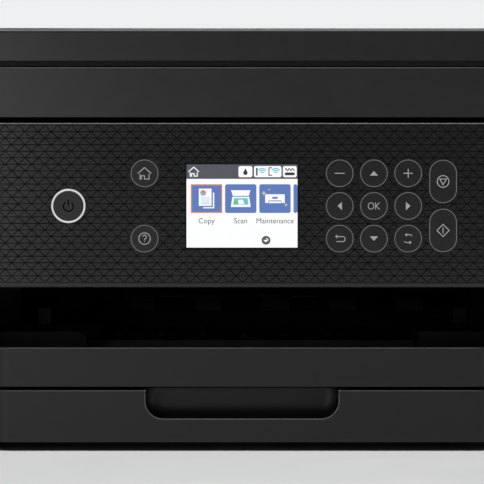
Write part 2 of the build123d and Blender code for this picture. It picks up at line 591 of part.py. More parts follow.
with BuildPart() as feed_pinion:
    gear_teeth(GEAR_X, GEAR_X1, PINION_AXIS, PINION_TEETH, PINION_ANGLE)
    rod_x(GEAR_X, -PLATE_X + 12, PINION_AXIS[0], PINION_AXIS[1], MOTOR_SHAFT_R)
save(feed_pinion, "feed_pinion")

with BuildPart() as platen:
    block(-PLATE_X + FIT, BAY_X, PLATEN_Y[0], PLATEN_Y[1], PLATEN_TOP - 10, PLATEN_TOP - 4)
    for i in range(12):
        block(-108 + 19 * i, -105.6 + 19 * i, PLATEN_Y[0] + 2, PLATEN_Y[1] - 2, PLATEN_TOP - 4, PLATEN_TOP)
    for y in (PLATEN_Y[0] + 12, PLATEN_Y[1] - 14):
        block(-112, 112, y, y + 5, PLATEN_TOP - 6, PLATEN_TOP - 4, Mode.SUBTRACT)
save(platen, "platen")

with BuildPart() as capping_station:
    cap_y = (HEAD_Y[0] - 1, HEAD_Y[1] + 1)
    block(BAY_X + 3, PLATE_X - 4, PLATEN_Y[0] - 2, PLATEN_Y[1], FLOOR_TOP, PLATEN_TOP - 4)
    block(BAY_X + 5, BAY_X + 33, cap_y[0], cap_y[1], PLATEN_TOP - 4, PLATEN_TOP)
    block(BAY_X + 7, BAY_X + 31, cap_y[0] + 2, cap_y[1] - 2, PLATEN_TOP - 3, PLATEN_TOP + 1, Mode.SUBTRACT)
    block(BAY_X + 37, BAY_X + 39, cap_y[0], cap_y[1], PLATEN_TOP - 4, PLATEN_TOP + 1)
save(capping_station, "capping_station")

with BuildPart() as print_carriage:
    x0 = CARRIAGE_X - CARRIAGE_W / 2
    x1 = CARRIAGE_X + CARRIAGE_W / 2
    block(x0, x1, CARRIAGE_Y[0], CARRIAGE_Y[1], CARRIAGE_Z[0], CARRIAGE_Z[1])
    fillet(print_carriage.edges().filter_by(Axis.Z), 4)
    block(x0 + 2, x1 - 2, CARRIAGE_Y[0] + 2, CARRIAGE_Y[1] - 12, CARRIAGE_Z[0] + 9, CARRIAGE_Z[1] + 1,
          Mode.SUBTRACT)
    # partitions between the cartridges
    bay_pitch = (CARRIAGE_W - 4) / CARTRIDGES
    for i in range(1, CARTRIDGES):
        block(x0 + 2 + bay_pitch * i - 0.5, x0 + 2 + bay_pitch * i + 0.5, CARRIAGE_Y[0] + 2,
              CARRIAGE_Y[1] - 12,
              CARRIAGE_Z[0] + 9, CARRIAGE_Z[0] + 26)
    # print head below, bearing behind, belt clamp above the bearing
    block(x0 + 10, x1 - 10, HEAD_Y[0], HEAD_Y[1], HEAD_Z, CARRIAGE_Z[0])
    block(x0 + 4, x1 - 4, CARRIAGE_Y[1] - 4, RAIL_SHAFT[0] + 7, RAIL_SHAFT[1] - 8, RAIL_SHAFT[1] + 7)
    rod_x(x0, x1, RAIL_SHAFT[0], RAIL_SHAFT[1], RAIL_SHAFT_R + RUN, Mode.SUBTRACT)
    run_z = PULLEY_Z - belt_in - BELT_T
    block(CARRIAGE_X - 10, CARRIAGE_X + 10, CARRIAGE_Y[1] - 4, PULLEY_Y[1] - 1.2, run_z - 3.6,
          run_z + BELT_T + 3.3)
    block(CARRIAGE_X - 11, CARRIAGE_X + 11, PULLEY_Y[0] + 1 - FIT, PULLEY_Y[1], run_z - FIT,
          run_z + BELT_T + FIT,
          Mode.SUBTRACT)
save(print_carriage, "print_carriage")

with BuildPart() as ink_cartridges:
    for i in range(CARTRIDGES):
        middle = x0 + 2 + bay_pitch * (i + 0.5)
        half = bay_pitch / 2 - 0.5 - FIT
        block(middle - half, middle + half, CARRIAGE_Y[0] + 2 + FIT, CARRIAGE_Y[1] - 12 - FIT,
              CARRIAGE_Z[0] + 9,
              CARRIAGE_Z[1] - 4)
        block(middle - 4, middle + 4, CARRIAGE_Y[0] + 6, CARRIAGE_Y[0] + 10, CARRIAGE_Z[1] - 4,
              CARRIAGE_Z[1])
    fillet(ink_cartridges.edges().filter_by(Axis.Z), 0.8)
save(ink_cartridges, "ink_cartridges")

# ---------------------------------------------------------------- electronics
with BuildPart() as main_board:
    block(BOARD_X, BOARD_X + BOARD_T, BACK - 188, BACK - WALL - 4, 14, 100)
    block(USB_X - USB_W / 2, USB_X + USB_W / 2, BACK - 18, BACK - 0.5, USB_Z - USB_H / 2, USB_Z + USB_H / 2)
    block(USB_X - USB_W / 2 + 0.8, USB_X + USB_W / 2 - 0.8, BACK - 14, BACK, USB_Z - USB_H / 2 + 0.8,
          USB_Z + USB_H / 2 - 0.8, Mode.SUBTRACT)
    for behind, z, size in ((153, 60, 22), (111, 44, 16), (111, 78, 14), (69, 60, 18)):
        y = BACK - behind
        block(BOARD_X + BOARD_T, BOARD_X + BOARD_T + 1.6, y - size / 2, y + size / 2, z - size / 2,
              z + size / 2)
    for i in range(4):
        rod_x(BOARD_X + BOARD_T, BOARD_X + BOARD_T + 7.5, BACK - 45, 30 + 16 * i, 4)
save(main_board, "main_board")

with BuildPart() as power_supply:
    supply_y = FRONT + 23.5
    supply_back = CHASSIS_Y[0] - 6
    block(-PLATE_X + 4, -BAY_X - 7.2, supply_y, supply_back, FLOOR_TOP, SUPPLY_TOP)
    fillet(power_supply.edges().filter_by(Axis.Z), 3)
    for i in range(int((supply_back - supply_y - 14) / VENT_PITCH)):
        vent_y = supply_y + 10 + VENT_PITCH * i
        block(-158, -128, vent_y, vent_y + VENT_W, SUPPLY_TOP - 1, SUPPLY_TOP + 1, Mode.SUBTRACT)
save(power_supply, "power_supply")

with BuildPart() as ac_inlet:
    with BuildSketch(Plane.XZ.offset(-BACK + 22)):
        with Locations((INLET_X, INLET_Z)):
            RectangleRounded(INLET_W, INLET_H, 3)
    extrude(amount=-21.5)
    block(INLET_X - 13, INLET_X + 13, BACK - WALL - FIT - 2, BACK - WALL - FIT, INLET_Z - 8, INLET_Z + 8)
    # figure-eight socket with its two pins
    with BuildSketch(Plane.XZ.offset(-BACK + 14)):
        with Locations((INLET_X, INLET_Z)):
            SlotOverall(14.4, 7.4)
    extrude(amount=-15, mode=Mode.SUBTRACT)
    for x in (-3.6, 3.6):
        rod_y(INLET_X + x, BACK - 15, BACK - 5, INLET_Z, 1.2)
save(ac_inlet, "ac_inlet")

# ---------------------------------------------------------------- scanner unit
with BuildPart() as scanner_base:
    slab(-WIDTH / 2, WIDTH / 2, FRONT, SCANNER_BACK, SCANNER_Z, SCANNER_TOP, CORNER_R)
    fillet(scanner_base.edges().group_by(Axis.Z)[-1], 0.6)
    slab(-WIDTH / 2 + WALL, WIDTH / 2 - WALL, FRONT + WALL, SCANNER_BACK - WALL, SCANNER_Z + WALL,
         SCANNER_TOP + 1,
         CORNER_R - WALL, Mode.SUBTRACT)
    # ledge that carries the bezel, and the rail that the scan bar runs on
    slab(-WIDTH / 2 + WALL / 2, WIDTH / 2 - WALL / 2, FRONT + WALL / 2, SCANNER_BACK - WALL / 2,
         SCANNER_TOP - BEZEL_T - 3, SCANNER_TOP - BEZEL_T, CORNER_R - WALL / 2)
    slab(-GLASS_W / 2 - 9, GLASS_W / 2 + 9, GLASS_Y - GLASS_D / 2 - 9, GLASS_Y + GLASS_D / 2 + 9,
         SCANNER_TOP - BEZEL_T - 4, SCANNER_TOP, 6, Mode.SUBTRACT)
    block(-GLASS_W / 2, GLASS_W / 2, RAIL_Y - RAIL_W / 2, RAIL_Y + RAIL_W / 2, SCANNER_Z + WALL - 0.5,
          SCANNER_Z + WALL + RAIL_H)
    for side in (-1, 1):
        cheek = HINGE_EAR_W / 2 + 5
        notch = HINGE_EAR_W / 2 + 2
        block(side * HINGE_X - cheek, side * HINGE_X + cheek, SCANNER_PIN_Y - 11, SCANNER_BACK - WALL,
              SCANNER_Z + 4, SCANNER_PIN_Z + 9)
        block(side * HINGE_X - cheek, side * HINGE_X + cheek, SCANNER_PIN_Y - 11, SCANNER_BACK - 5,
              SCANNER_Z + WALL / 2, SCANNER_PIN_Z + 9)
        block(side * HINGE_X - notch, side * HINGE_X + notch, SCANNER_PIN_Y - 8, SCANNER_BACK + 1,
              SCANNER_Z - 1,
              SCANNER_PIN_Z + 7, Mode.SUBTRACT)
        rod_x(side * HINGE_X - notch - 1, side * HINGE_X + notch + 1, SCANNER_PIN_Y, SCANNER_PIN_Z,
              SCANNER_PIN_R)
    # the lower rear edge is cut back so that it clears the deck as the unit tips up
    with BuildSketch(Plane.YZ):
        with BuildLine():
            Polyline((SCANNER_BACK + 1, SCANNER_Z - 1), (SCANNER_BACK - REAR_BEVEL - 1, SCANNER_Z - 1),
                     (SCANNER_BACK + 1, SCANNER_Z + REAR_BEVEL + 1), close=True)
        make_face()
    extrude(amount=WIDTH, both=True, mode=Mode.SUBTRACT)
save(scanner_base, "scanner_base")

with BuildPart() as scanner_bezel:
    slab(-WIDTH / 2 + WALL + FIT, WIDTH / 2 - WALL - FIT, FRONT + WALL + FIT, SCANNER_BACK - WALL - FIT,
         SCANNER_TOP - BEZEL_T, SCANNER_TOP, CORNER_R - WALL)
    slab(-GLASS_W / 2 + GLASS_LIP, GLASS_W / 2 - GLASS_LIP, GLASS_Y - GLASS_D / 2 + GLASS_LIP,
         GLASS_Y + GLASS_D / 2 - GLASS_LIP, SCANNER_TOP - BEZEL_T - 1, SCANNER_TOP + 1, 2, Mode.SUBTRACT)
    block(-GLASS_W / 2 - FIT, GLASS_W / 2 + FIT, GLASS_Y - GLASS_D / 2 - FIT, GLASS_Y + GLASS_D / 2 + FIT,
          SCANNER_TOP - BEZEL_T - 1, SCANNER_TOP - 0.8, Mode.SUBTRACT)
    for side in (-1, 1):
        x0 = side * HINGE_X - HINGE_EAR_W / 2
        x1 = side * HINGE_X + HINGE_EAR_W / 2
        block(x0, x1, SCANNER_PIN_Y - HINGE_EAR_R, SCANNER_PIN_Y + 3.0, SCANNER_TOP - 1, COVER_PIN_Z)
        rod_x(x0, x1, SCANNER_PIN_Y, COVER_PIN_Z, HINGE_EAR_R)
        rod_x(x0, x1, SCANNER_PIN_Y, COVER_PIN_Z, COVER_PIN_R + RUN, Mode.SUBTRACT)
save(scanner_bezel, "scanner_bezel")

with BuildPart() as scanner_glass:
    block(-GLASS_W / 2, GLASS_W / 2, GLASS_Y - GLASS_D / 2, GLASS_Y + GLASS_D / 2,
          SCANNER_TOP - 0.8 - GLASS_T,
          SCANNER_TOP - 0.8)
save(scanner_glass, "scanner_glass")

GLASS_UNDER = SCANNER_TOP - 0.8 - GLASS_T
with BuildPart() as scan_bar:
    bar_z = SCANNER_Z + WALL + 1.6
    block(SCAN_BAR_X - SCAN_BAR_W / 2, SCAN_BAR_X + SCAN_BAR_W / 2, GLASS_Y - SCAN_BAR_L / 2,
          GLASS_Y + SCAN_BAR_L / 2,
          bar_z, GLASS_UNDER - 0.6)
    block(SCAN_BAR_X - 5, SCAN_BAR_X + 5, GLASS_Y - SCAN_BAR_L / 2 + 4, GLASS_Y + SCAN_BAR_L / 2 - 4,
          GLASS_UNDER - 2.0, GLASS_UNDER, Mode.SUBTRACT)
    block(SCAN_BAR_X - SCAN_BAR_W, SCAN_BAR_X + SCAN_BAR_W, RAIL_Y - RAIL_W / 2 - FIT,
          RAIL_Y + RAIL_W / 2 + FIT,
          bar_z - 1, SCANNER_Z + WALL + RAIL_H + FIT, Mode.SUBTRACT)
save(scan_bar, "scan_bar")

with BuildPart() as document_cover:
    slab(-WIDTH / 2, WIDTH / 2, FRONT, COVER_BACK, LID_Z, LID_TOP, CORNER_R)
    fillet(document_cover.edges().group_by(Axis.Z)[-1], 2.5)
    slab(-WIDTH / 2 + WALL, WIDTH / 2 - WALL, FRONT + WALL, COVER_BACK - WALL, LID_Z - 1, LID_TOP - WALL,
         CORNER_R - WALL, Mode.SUBTRACT)
    # skirt that hides the gap over the scanner unit, open at the back where the hinge turns
    slab(-WIDTH / 2 + SKIRT_IN, WIDTH / 2 - SKIRT_IN, FRONT + SKIRT_IN, COVER_BACK - SKIRT_IN, SKIRT_Z,
         LID_Z + 2,
         CORNER_R - SKIRT_IN)
    slab(-WIDTH / 2 + SKIRT_IN + SKIRT_T, WIDTH / 2 - SKIRT_IN - SKIRT_T, FRONT + SKIRT_IN + SKIRT_T,
         COVER_BACK - SKIRT_IN - SKIRT_T, SKIRT_Z - 1, LID_Z + 2, CORNER_R - SKIRT_IN - SKIRT_T,
         Mode.SUBTRACT)
    block(-WIDTH / 2, WIDTH / 2, COVER_BACK - SKIRT_SHORT, COVER_BACK, SKIRT_Z - 1, LID_Z, Mode.SUBTRACT)
    for side in (-1, 1):
        cheek = HINGE_EAR_W / 2 + 4
        notch = HINGE_EAR_W / 2 + 1
        block(side * HINGE_X - cheek, side * HINGE_X + cheek, SCANNER_PIN_Y - 7, COVER_BACK - WALL / 2,
              COVER_PIN_Z - 3.4, LID_TOP - WALL / 2)
        block(side * HINGE_X - notch, side * HINGE_X + notch, SCANNER_PIN_Y - 8, COVER_BACK + 1, LID_Z - 1,
              COVER_PIN_Z + 6.4, Mode.SUBTRACT)
        rod_x(side * HINGE_X - notch - 1, side * HINGE_X + notch + 1, SCANNER_PIN_Y, COVER_PIN_Z,
              COVER_PIN_R)
    # ribs that hold the mat
    for x in (-80, 0, 80):
        block(x - 1, x + 1, GLASS_Y - MAT_D / 2, GLASS_Y + MAT_D / 2, LID_Z + 4, LID_TOP - WALL / 2)
save(document_cover, "document_cover")

with BuildPart() as document_mat:
    slab(-MAT_W / 2, MAT_W / 2, GLASS_Y - MAT_D / 2, GLASS_Y + MAT_D / 2, SCANNER_TOP + 0.1, LID_Z + 4, 4)
save(document_mat, "document_mat")

# ---------------------------------------------------------------- control panel
KEY_COLUMNS = (KEY_X - KEY_PITCH, KEY_X, KEY_X + KEY_PITCH)
KEY_ROWS = (SCREEN_Z + ROW_PITCH, SCREEN_Z, SCREEN_Z - ROW_PITCH)
KEY_NAMES = (("minus", "up", "plus"), ("left", "ok", "right"), ("back", "down", "swap"))
# name: x, z, width, height
BUTTONS = {
    "power": (POWER_X, SCREEN_Z, POWER_D, POWER_D),
    "home": (HOME_X, KEY_ROWS[0], BUTTON_D, BUTTON_D),
    "help": (HOME_X, KEY_ROWS[2], BUTTON_D, BUTTON_D),
    "stop": (OVAL_X, SCREEN_Z + OVAL_RISE, BUTTON_D, OVAL_H),
    "start": (OVAL_X, SCREEN_Z - OVAL_RISE, BUTTON_D, OVAL_H),
}
for row, names in zip(KEY_ROWS, KEY_NAMES):
    for column, name in zip(KEY_COLUMNS, names):
        BUTTONS[name] = (column, row, BUTTON_D, BUTTON_D)


def key_column(x, z, width, height, y0, y1, mode=Mode.ADD):
    """A round or upright oval bar along Y, from y0 back to y1."""
    with BuildSketch(Plane.XZ.offset(-y0)) as outline:
        with Locations((x, z)):
            if height > width:
                SlotOverall(height, width, rotation=90)
            else:
                Circle(width / 2)
    extrude(outline.sketch, amount=-(y1 - y0), mode=mode)


PANEL_INNER = PANEL_FACE + WALL
with BuildPart() as panel_shell:
    block(-PANEL_X, PANEL_X, PANEL_FACE, PANEL_FACE + PANEL_DEPTH, PANEL_Z, PANEL_TOP)
    front_edges = panel_shell.edges().group_by(Axis.Y)[0]
    fillet(front_edges, 1.6)
    fillet(panel_shell.edges().filter_by(Axis.X).group_by(Axis.Z)[0].sort_by(Axis.Y)[-1], 3)
    block(-PANEL_X + THIN_WALL, PANEL_X - THIN_WALL, PANEL_INNER, PANEL_FACE + PANEL_DEPTH + 1,
          PANEL_Z + THIN_WALL, PANEL_TOP - THIN_WALL, Mode.SUBTRACT)
    for x, z, width, height in BUTTONS.values():
        key_column(x, z, width + 2 * BUTTON_CLEAR, height + 2 * BUTTON_CLEAR, PANEL_FACE - 1,
                   PANEL_INNER + 1,
                   Mode.SUBTRACT)
    block(-SCREEN_W / 2 - SCREEN_RIM - 0.1, SCREEN_W / 2 + SCREEN_RIM + 0.1, PANEL_FACE - 1,
          PANEL_INNER + 1,
          SCREEN_Z - SCREEN_H / 2 - SCREEN_RIM - 0.1, SCREEN_Z + SCREEN_H / 2 + SCREEN_RIM + 0.1,
          Mode.SUBTRACT)
    for side in (-1, 1):
        low, high = sorted((side * (PANEL_X - THIN_WALL), side * (PANEL_SIDE_X + 4)))
        rod_x(low, high, PANEL_PIN_Y, PANEL_PIN_Z, PANEL_PIN_R)
save(panel_shell, "panel_shell")

with BuildPart() as panel_back:
    back_y = PANEL_FACE + PANEL_DEPTH - PANEL_BACK_T
    block(-PANEL_X + THIN_WALL + FIT, PANEL_X - THIN_WALL - FIT, back_y, back_y + PANEL_BACK_T,
          PANEL_Z + THIN_WALL + FIT, PANEL_TOP - THIN_WALL - FIT)
    # switch posts, each stopping where its button's travel ends
    for x, z, width, height in BUTTONS.values():
        rod_y(x, PANEL_INNER + BUTTON_FLANGE + FIT + BUTTON_TRAVEL + 0.3, back_y, z, 2.2)
    for i in range(5):
        block(-140 + 60 * i, -100 + 60 * i, back_y + PANEL_BACK_T - 0.8, back_y + 4, 84, 86, Mode.SUBTRACT)
save(panel_back, "panel_back")

with BuildPart() as screen:
    block(-SCREEN_W / 2 - SCREEN_RIM, SCREEN_W / 2 + SCREEN_RIM, PANEL_FACE + 0.15, PANEL_INNER + FIT + 2.5,
          SCREEN_Z - SCREEN_H / 2 - SCREEN_RIM, SCREEN_Z + SCREEN_H / 2 + SCREEN_RIM)
    block(-SCREEN_W / 2 - 4, SCREEN_W / 2 + 4, PANEL_INNER + FIT, PANEL_INNER + FIT + 4,
          SCREEN_Z - SCREEN_H / 2 - 4, SCREEN_Z + SCREEN_H / 2 + 4)
save(screen, "screen")

for name, (x, z, width, height) in BUTTONS.items():
    with BuildPart() as button:
        key_column(x, z, width, height, PANEL_FACE - KEY_RISE, PANEL_INNER + FIT + 0.1)
        fillet(button.edges().group_by(Axis.Y)[0], 0.3)
        key_column(x, z, width + 1.2, height + 1.2, PANEL_INNER + FIT, PANEL_INNER + FIT + BUTTON_FLANGE)
    save(button, f"{name}_button")

# ---------------------------------------------------------------- output tray
with BuildPart() as tray_slide:
    block(-TRAY_W / 2, TRAY_W / 2, FRONT + 20, FRONT + 139.5, LEDGE_Z + FIT, LEDGE_Z + FIT + SLIDE_T)
    for i in range(2):
        block(-86 + 96 * i, -10 + 96 * i, FRONT + 36, FRONT + 113.5, LEDGE_Z, LEDGE_Z + 5, Mode.SUBTRACT)
save(tray_slide, "tray_slide")

with BuildPart() as output_tray:
    plate_top = TRAY_PLATE_Z + TRAY_PLATE_T
    # front with its rounded ends turned back
    slab(-FRONT_W / 2, FRONT_W / 2, FRONT, FRONT + 40, TRAY_FRONT_Z, TRAY_FRONT_TOP, FRONT_CORNER_R)
    fillet(output_tray.edges().group_by(Axis.Z)[-1], 0.9)
    fillet(output_tray.edges().group_by(Axis.Z)[0], 0.6)
    slab(-FRONT_W / 2 + 3, FRONT_W / 2 - 3, FRONT + 3, FRONT + 37, TRAY_FRONT_Z - 1, TRAY_FRONT_TOP + 1,
         FRONT_CORNER_R - 3, Mode.SUBTRACT)
    block(-FRONT_W / 2 - 1, FRONT_W / 2 + 1, FRONT + 12, FRONT + 41, TRAY_FRONT_Z - 1, TRAY_FRONT_TOP + 1,
          Mode.SUBTRACT)
    # paper plate with its runners
    block(-TRAY_W / 2, TRAY_W / 2, FRONT + 2, TRAY_BACK, TRAY_PLATE_Z, plate_top)
    for side in (-1, 1):
        low, high = sorted((side * (TRAY_W / 2 - 5), side * TRAY_W / 2))
        block(low, high, FRONT + 24, TRAY_BACK, LEDGE_Z + SLIDE_T + 2 * FIT, TRAY_PLATE_Z)
    # ribs, with a pocket between them for the paper stop
    for x in (-96, -72, -48, 48, 72, 96):
        block(x - 0.8, x + 0.8, FRONT + 3, TRAY_BACK, plate_top, plate_top + 0.8)
    block(-STOP_W / 2 - 6, -STOP_W / 2 - 0.5, FRONT + 4, FRONT + 12, plate_top, plate_top + 2.4)
    block(STOP_W / 2 + 0.5, STOP_W / 2 + 6, FRONT + 4, FRONT + 12, plate_top, plate_top + 2.4)
    rod_x(-STOP_W / 2 - 2, STOP_W / 2 + 2, FRONT + 8, plate_top + 1.3, STOP_PIN_R)
save(output_tray, "output_tray")

with BuildPart() as paper_stop:
    block(-STOP_W / 2, STOP_W / 2, FRONT + 8, FRONT + 8 + STOP_L, plate_top + 0.2, plate_top + 2.2)
    fillet(paper_stop.edges().filter_by(Axis.Z).group_by(Axis.Y)[-1], 4)
    rod_x(-STOP_W / 2, STOP_W / 2, FRONT + 8, plate_top + 1.3, STOP_PIN_R + 0.2)
    rod_x(-STOP_W / 2 - 1, STOP_W / 2 + 1, FRONT + 8, plate_top + 1.3, STOP_PIN_R + RUN, Mode.SUBTRACT)
save(paper_stop, "paper_stop")

# ---------------------------------------------------------------- paper cassette
with BuildPart() as paper_cassette:
    half_w = FRONT_W / 2
    # front, hollow behind on both sides of the finger recess
    slab(-half_w, half_w, FRONT, FRONT + 40, BASE_Z + 1, CASSETTE_TOP, FRONT_CORNER_R)
    fillet(paper_cassette.edges().group_by(Axis.Z)[-1], 0.9)
    block(-half_w - 1, half_w + 1, FRONT + CASSETTE_FRONT_D, FRONT + 41, BASE_Z, CASSETTE_TOP + 1,
          Mode.SUBTRACT)
    for side in (-1, 1):
        low, high = sorted((side * (RECESS_W / 2 + 5), side * (half_w - 9)))
        block(low, high, FRONT + 3, FRONT + CASSETTE_FRONT_D + 1, CASSETTE_Z + 3, CASSETTE_TOP - 3,
              Mode.SUBTRACT)
    # bin behind it
    block(-half_w + 1, half_w - 1, FRONT + CASSETTE_FRONT_D, CASSETTE_BACK, CASSETTE_Z, CASSETTE_RIM)
    block(-half_w + 3, half_w - 3, FRONT + CASSETTE_FRONT_D + 2, CASSETTE_BACK - 2, CASSETTE_Z + 2,
          CASSETTE_RIM + 1,
          Mode.SUBTRACT)
    # finger recess, open at the top and scooped at the bottom and back
    with BuildSketch(Plane.XZ.offset(-FRONT)) as recess:
        with BuildLine():
            Polyline((-RECESS_W / 2, CASSETTE_TOP + 5), (-RECESS_W / 2, RECESS_Z), (RECESS_W / 2, RECESS_Z),
                     (RECESS_W / 2, CASSETTE_TOP + 5), close=True)
        make_face()
        fillet(recess.vertices().group_by(Axis.Z)[0], RECESS_R)
    extrude(amount=-RECESS_D, mode=Mode.SUBTRACT)
    back_edges = paper_cassette.edges().filter_by_position(Axis.Y, FRONT + RECESS_D - 0.01,
                                                           FRONT + RECESS_D + 0.01)
    fillet(back_edges.filter_by_position(Axis.Z, RECESS_Z - 1, CASSETTE_TOP - 0.1), RECESS_SCOOP)
save(paper_cassette, "paper_cassette")


def edge_guide(side):
    """An upright paper guide with its foot on the cassette floor."""
    floor = CASSETTE_Z + 2 + FIT
    guide_front = FRONT + GUIDE_FROM_FRONT
    with BuildPart() as guide:
        low, high = sorted((side * GUIDE_X, side * (GUIDE_X + 2)))
        block(low, high, guide_front, guide_front + GUIDE_L, floor, CASSETTE_RIM - 1)
        low, high = sorted((side * (GUIDE_X - 28), side * GUIDE_X))
        block(low, high, guide_front + 35, guide_front + 65, floor, floor + 1.4)
        low, high = sorted((side * (GUIDE_X - 6), side * GUIDE_X))
        block(low, high, guide_front, guide_front + GUIDE_L, floor, floor + 1.4)
    return guide


save(edge_guide(-1), "left_edge_guide")
save(edge_guide(1), "right_edge_guide")

with BuildPart() as length_guide:
    guide_y = FRONT + CASSETTE_FRONT_D + 4
    block(-20, 20, guide_y, guide_y + 2, CASSETTE_Z + 2 + FIT, CASSETTE_RIM - 3)
    block(-20, 20, guide_y, guide_y + 18, CASSETTE_Z + 2 + FIT, CASSETTE_Z + 4)
    fillet(length_guide.edges().filter_by(Axis.Y).group_by(Axis.Z)[-1], 3)
save(length_guide, "length_guide")

# ---------------------------------------------------------------- rear duplexer
with BuildPart() as rear_duplexer:
    half_w = DUPLEX_W / 2
    y0 = BACK - DUPLEX_D
    middle_z = (DUPLEX_Z[0] + DUPLEX_Z[1]) / 2
    block(-half_w, half_w, BACK - WALL, BACK, DUPLEX_Z[0], DUPLEX_Z[1])
    fillet(rear_duplexer.edges().filter_by(Axis.Y), 2)
    # body with the hollow round which the paper turns, and low ribs across it
    block(-half_w + 1, half_w - 1, y0, BACK - WALL, DUPLEX_Z[0] + 2, DUPLEX_Z[1] - 2)
    rod_x(-half_w, half_w, y0 - TURN_IN, middle_z, TURN_R, Mode.SUBTRACT)
    for i in range(DUPLEX_RIBS):
        x = -half_w + 10 + i * (DUPLEX_W - 20) / (DUPLEX_RIBS - 1)
        with BuildSketch(Plane.YZ.offset(x - DUPLEX_RIB_W / 2)):
            with Locations((y0 - TURN_IN, middle_z)):
                Circle(TURN_R + 0.5)
                Circle(TURN_R - 1.2, mode=Mode.SUBTRACT)
            # only the half behind the mouth of the hollow
            with Locations((y0 - TURN_R, middle_z)):
                Rectangle(2 * TURN_R, 4 * TURN_R, mode=Mode.SUBTRACT)
        extrude(amount=DUPLEX_RIB_W)
    # grip recesses at both ends of the rear face
    for side in (-1, 1):
        low, high = sorted((side * (half_w - 30), side * (half_w - 12)))
        block(low, high, BACK - 1.2, BACK + 1, middle_z - 20, middle_z + 20, Mode.SUBTRACT)
save(rear_duplexer, "rear_duplexer")
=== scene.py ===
import math
import random

import bmesh
import bpy
from mathutils import Matrix, Vector


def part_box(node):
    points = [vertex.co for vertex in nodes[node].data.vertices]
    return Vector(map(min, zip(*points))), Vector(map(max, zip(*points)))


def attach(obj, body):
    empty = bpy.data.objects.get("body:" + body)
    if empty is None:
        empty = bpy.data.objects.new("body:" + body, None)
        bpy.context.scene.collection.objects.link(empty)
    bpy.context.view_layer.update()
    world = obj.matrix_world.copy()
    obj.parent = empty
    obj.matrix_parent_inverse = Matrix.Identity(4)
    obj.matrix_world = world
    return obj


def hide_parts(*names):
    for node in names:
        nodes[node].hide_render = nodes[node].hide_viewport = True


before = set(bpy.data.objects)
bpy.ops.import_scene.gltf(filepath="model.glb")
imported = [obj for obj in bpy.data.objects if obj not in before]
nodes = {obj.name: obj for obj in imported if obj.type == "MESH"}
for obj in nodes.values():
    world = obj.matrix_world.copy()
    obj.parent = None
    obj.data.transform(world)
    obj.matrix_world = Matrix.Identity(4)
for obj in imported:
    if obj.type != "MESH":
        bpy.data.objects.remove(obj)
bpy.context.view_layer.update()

MM = 0.001
SAME = 1e-7                     # points closer than this are one
EDGE = 0.02 * MM                # past a face, so that a finish told apart by place includes the face
COVER_EDGE = 172.3 * MM         # height of the lid's lower edge, under which its skirt is in shadow
BOARD_SKIN = 172.8 * MM         # the main board's component side, in x
SOCKET_FRONT = 155.4 * MM       # front of the data socket at the board's back, in y
LINER_EDGE = -137.0 * MM        # front of the slot's floor, between the two shelves
LINER_LEFT, LINER_RIGHT = -70.0 * MM, 79.5 * MM
GEAR_END = -171.0 * MM          # the rollers' gears are left of this
EJECT_TYRES = [((-97 + 36 * i) * MM, (-83 + 36 * i) * MM) for i in range(6)]
PICKUP_TYRES = [(-24 * MM, -6 * MM), (6 * MM, 24 * MM)]
scene = bpy.context.scene


# ---------------------------------------------------------------- finishes

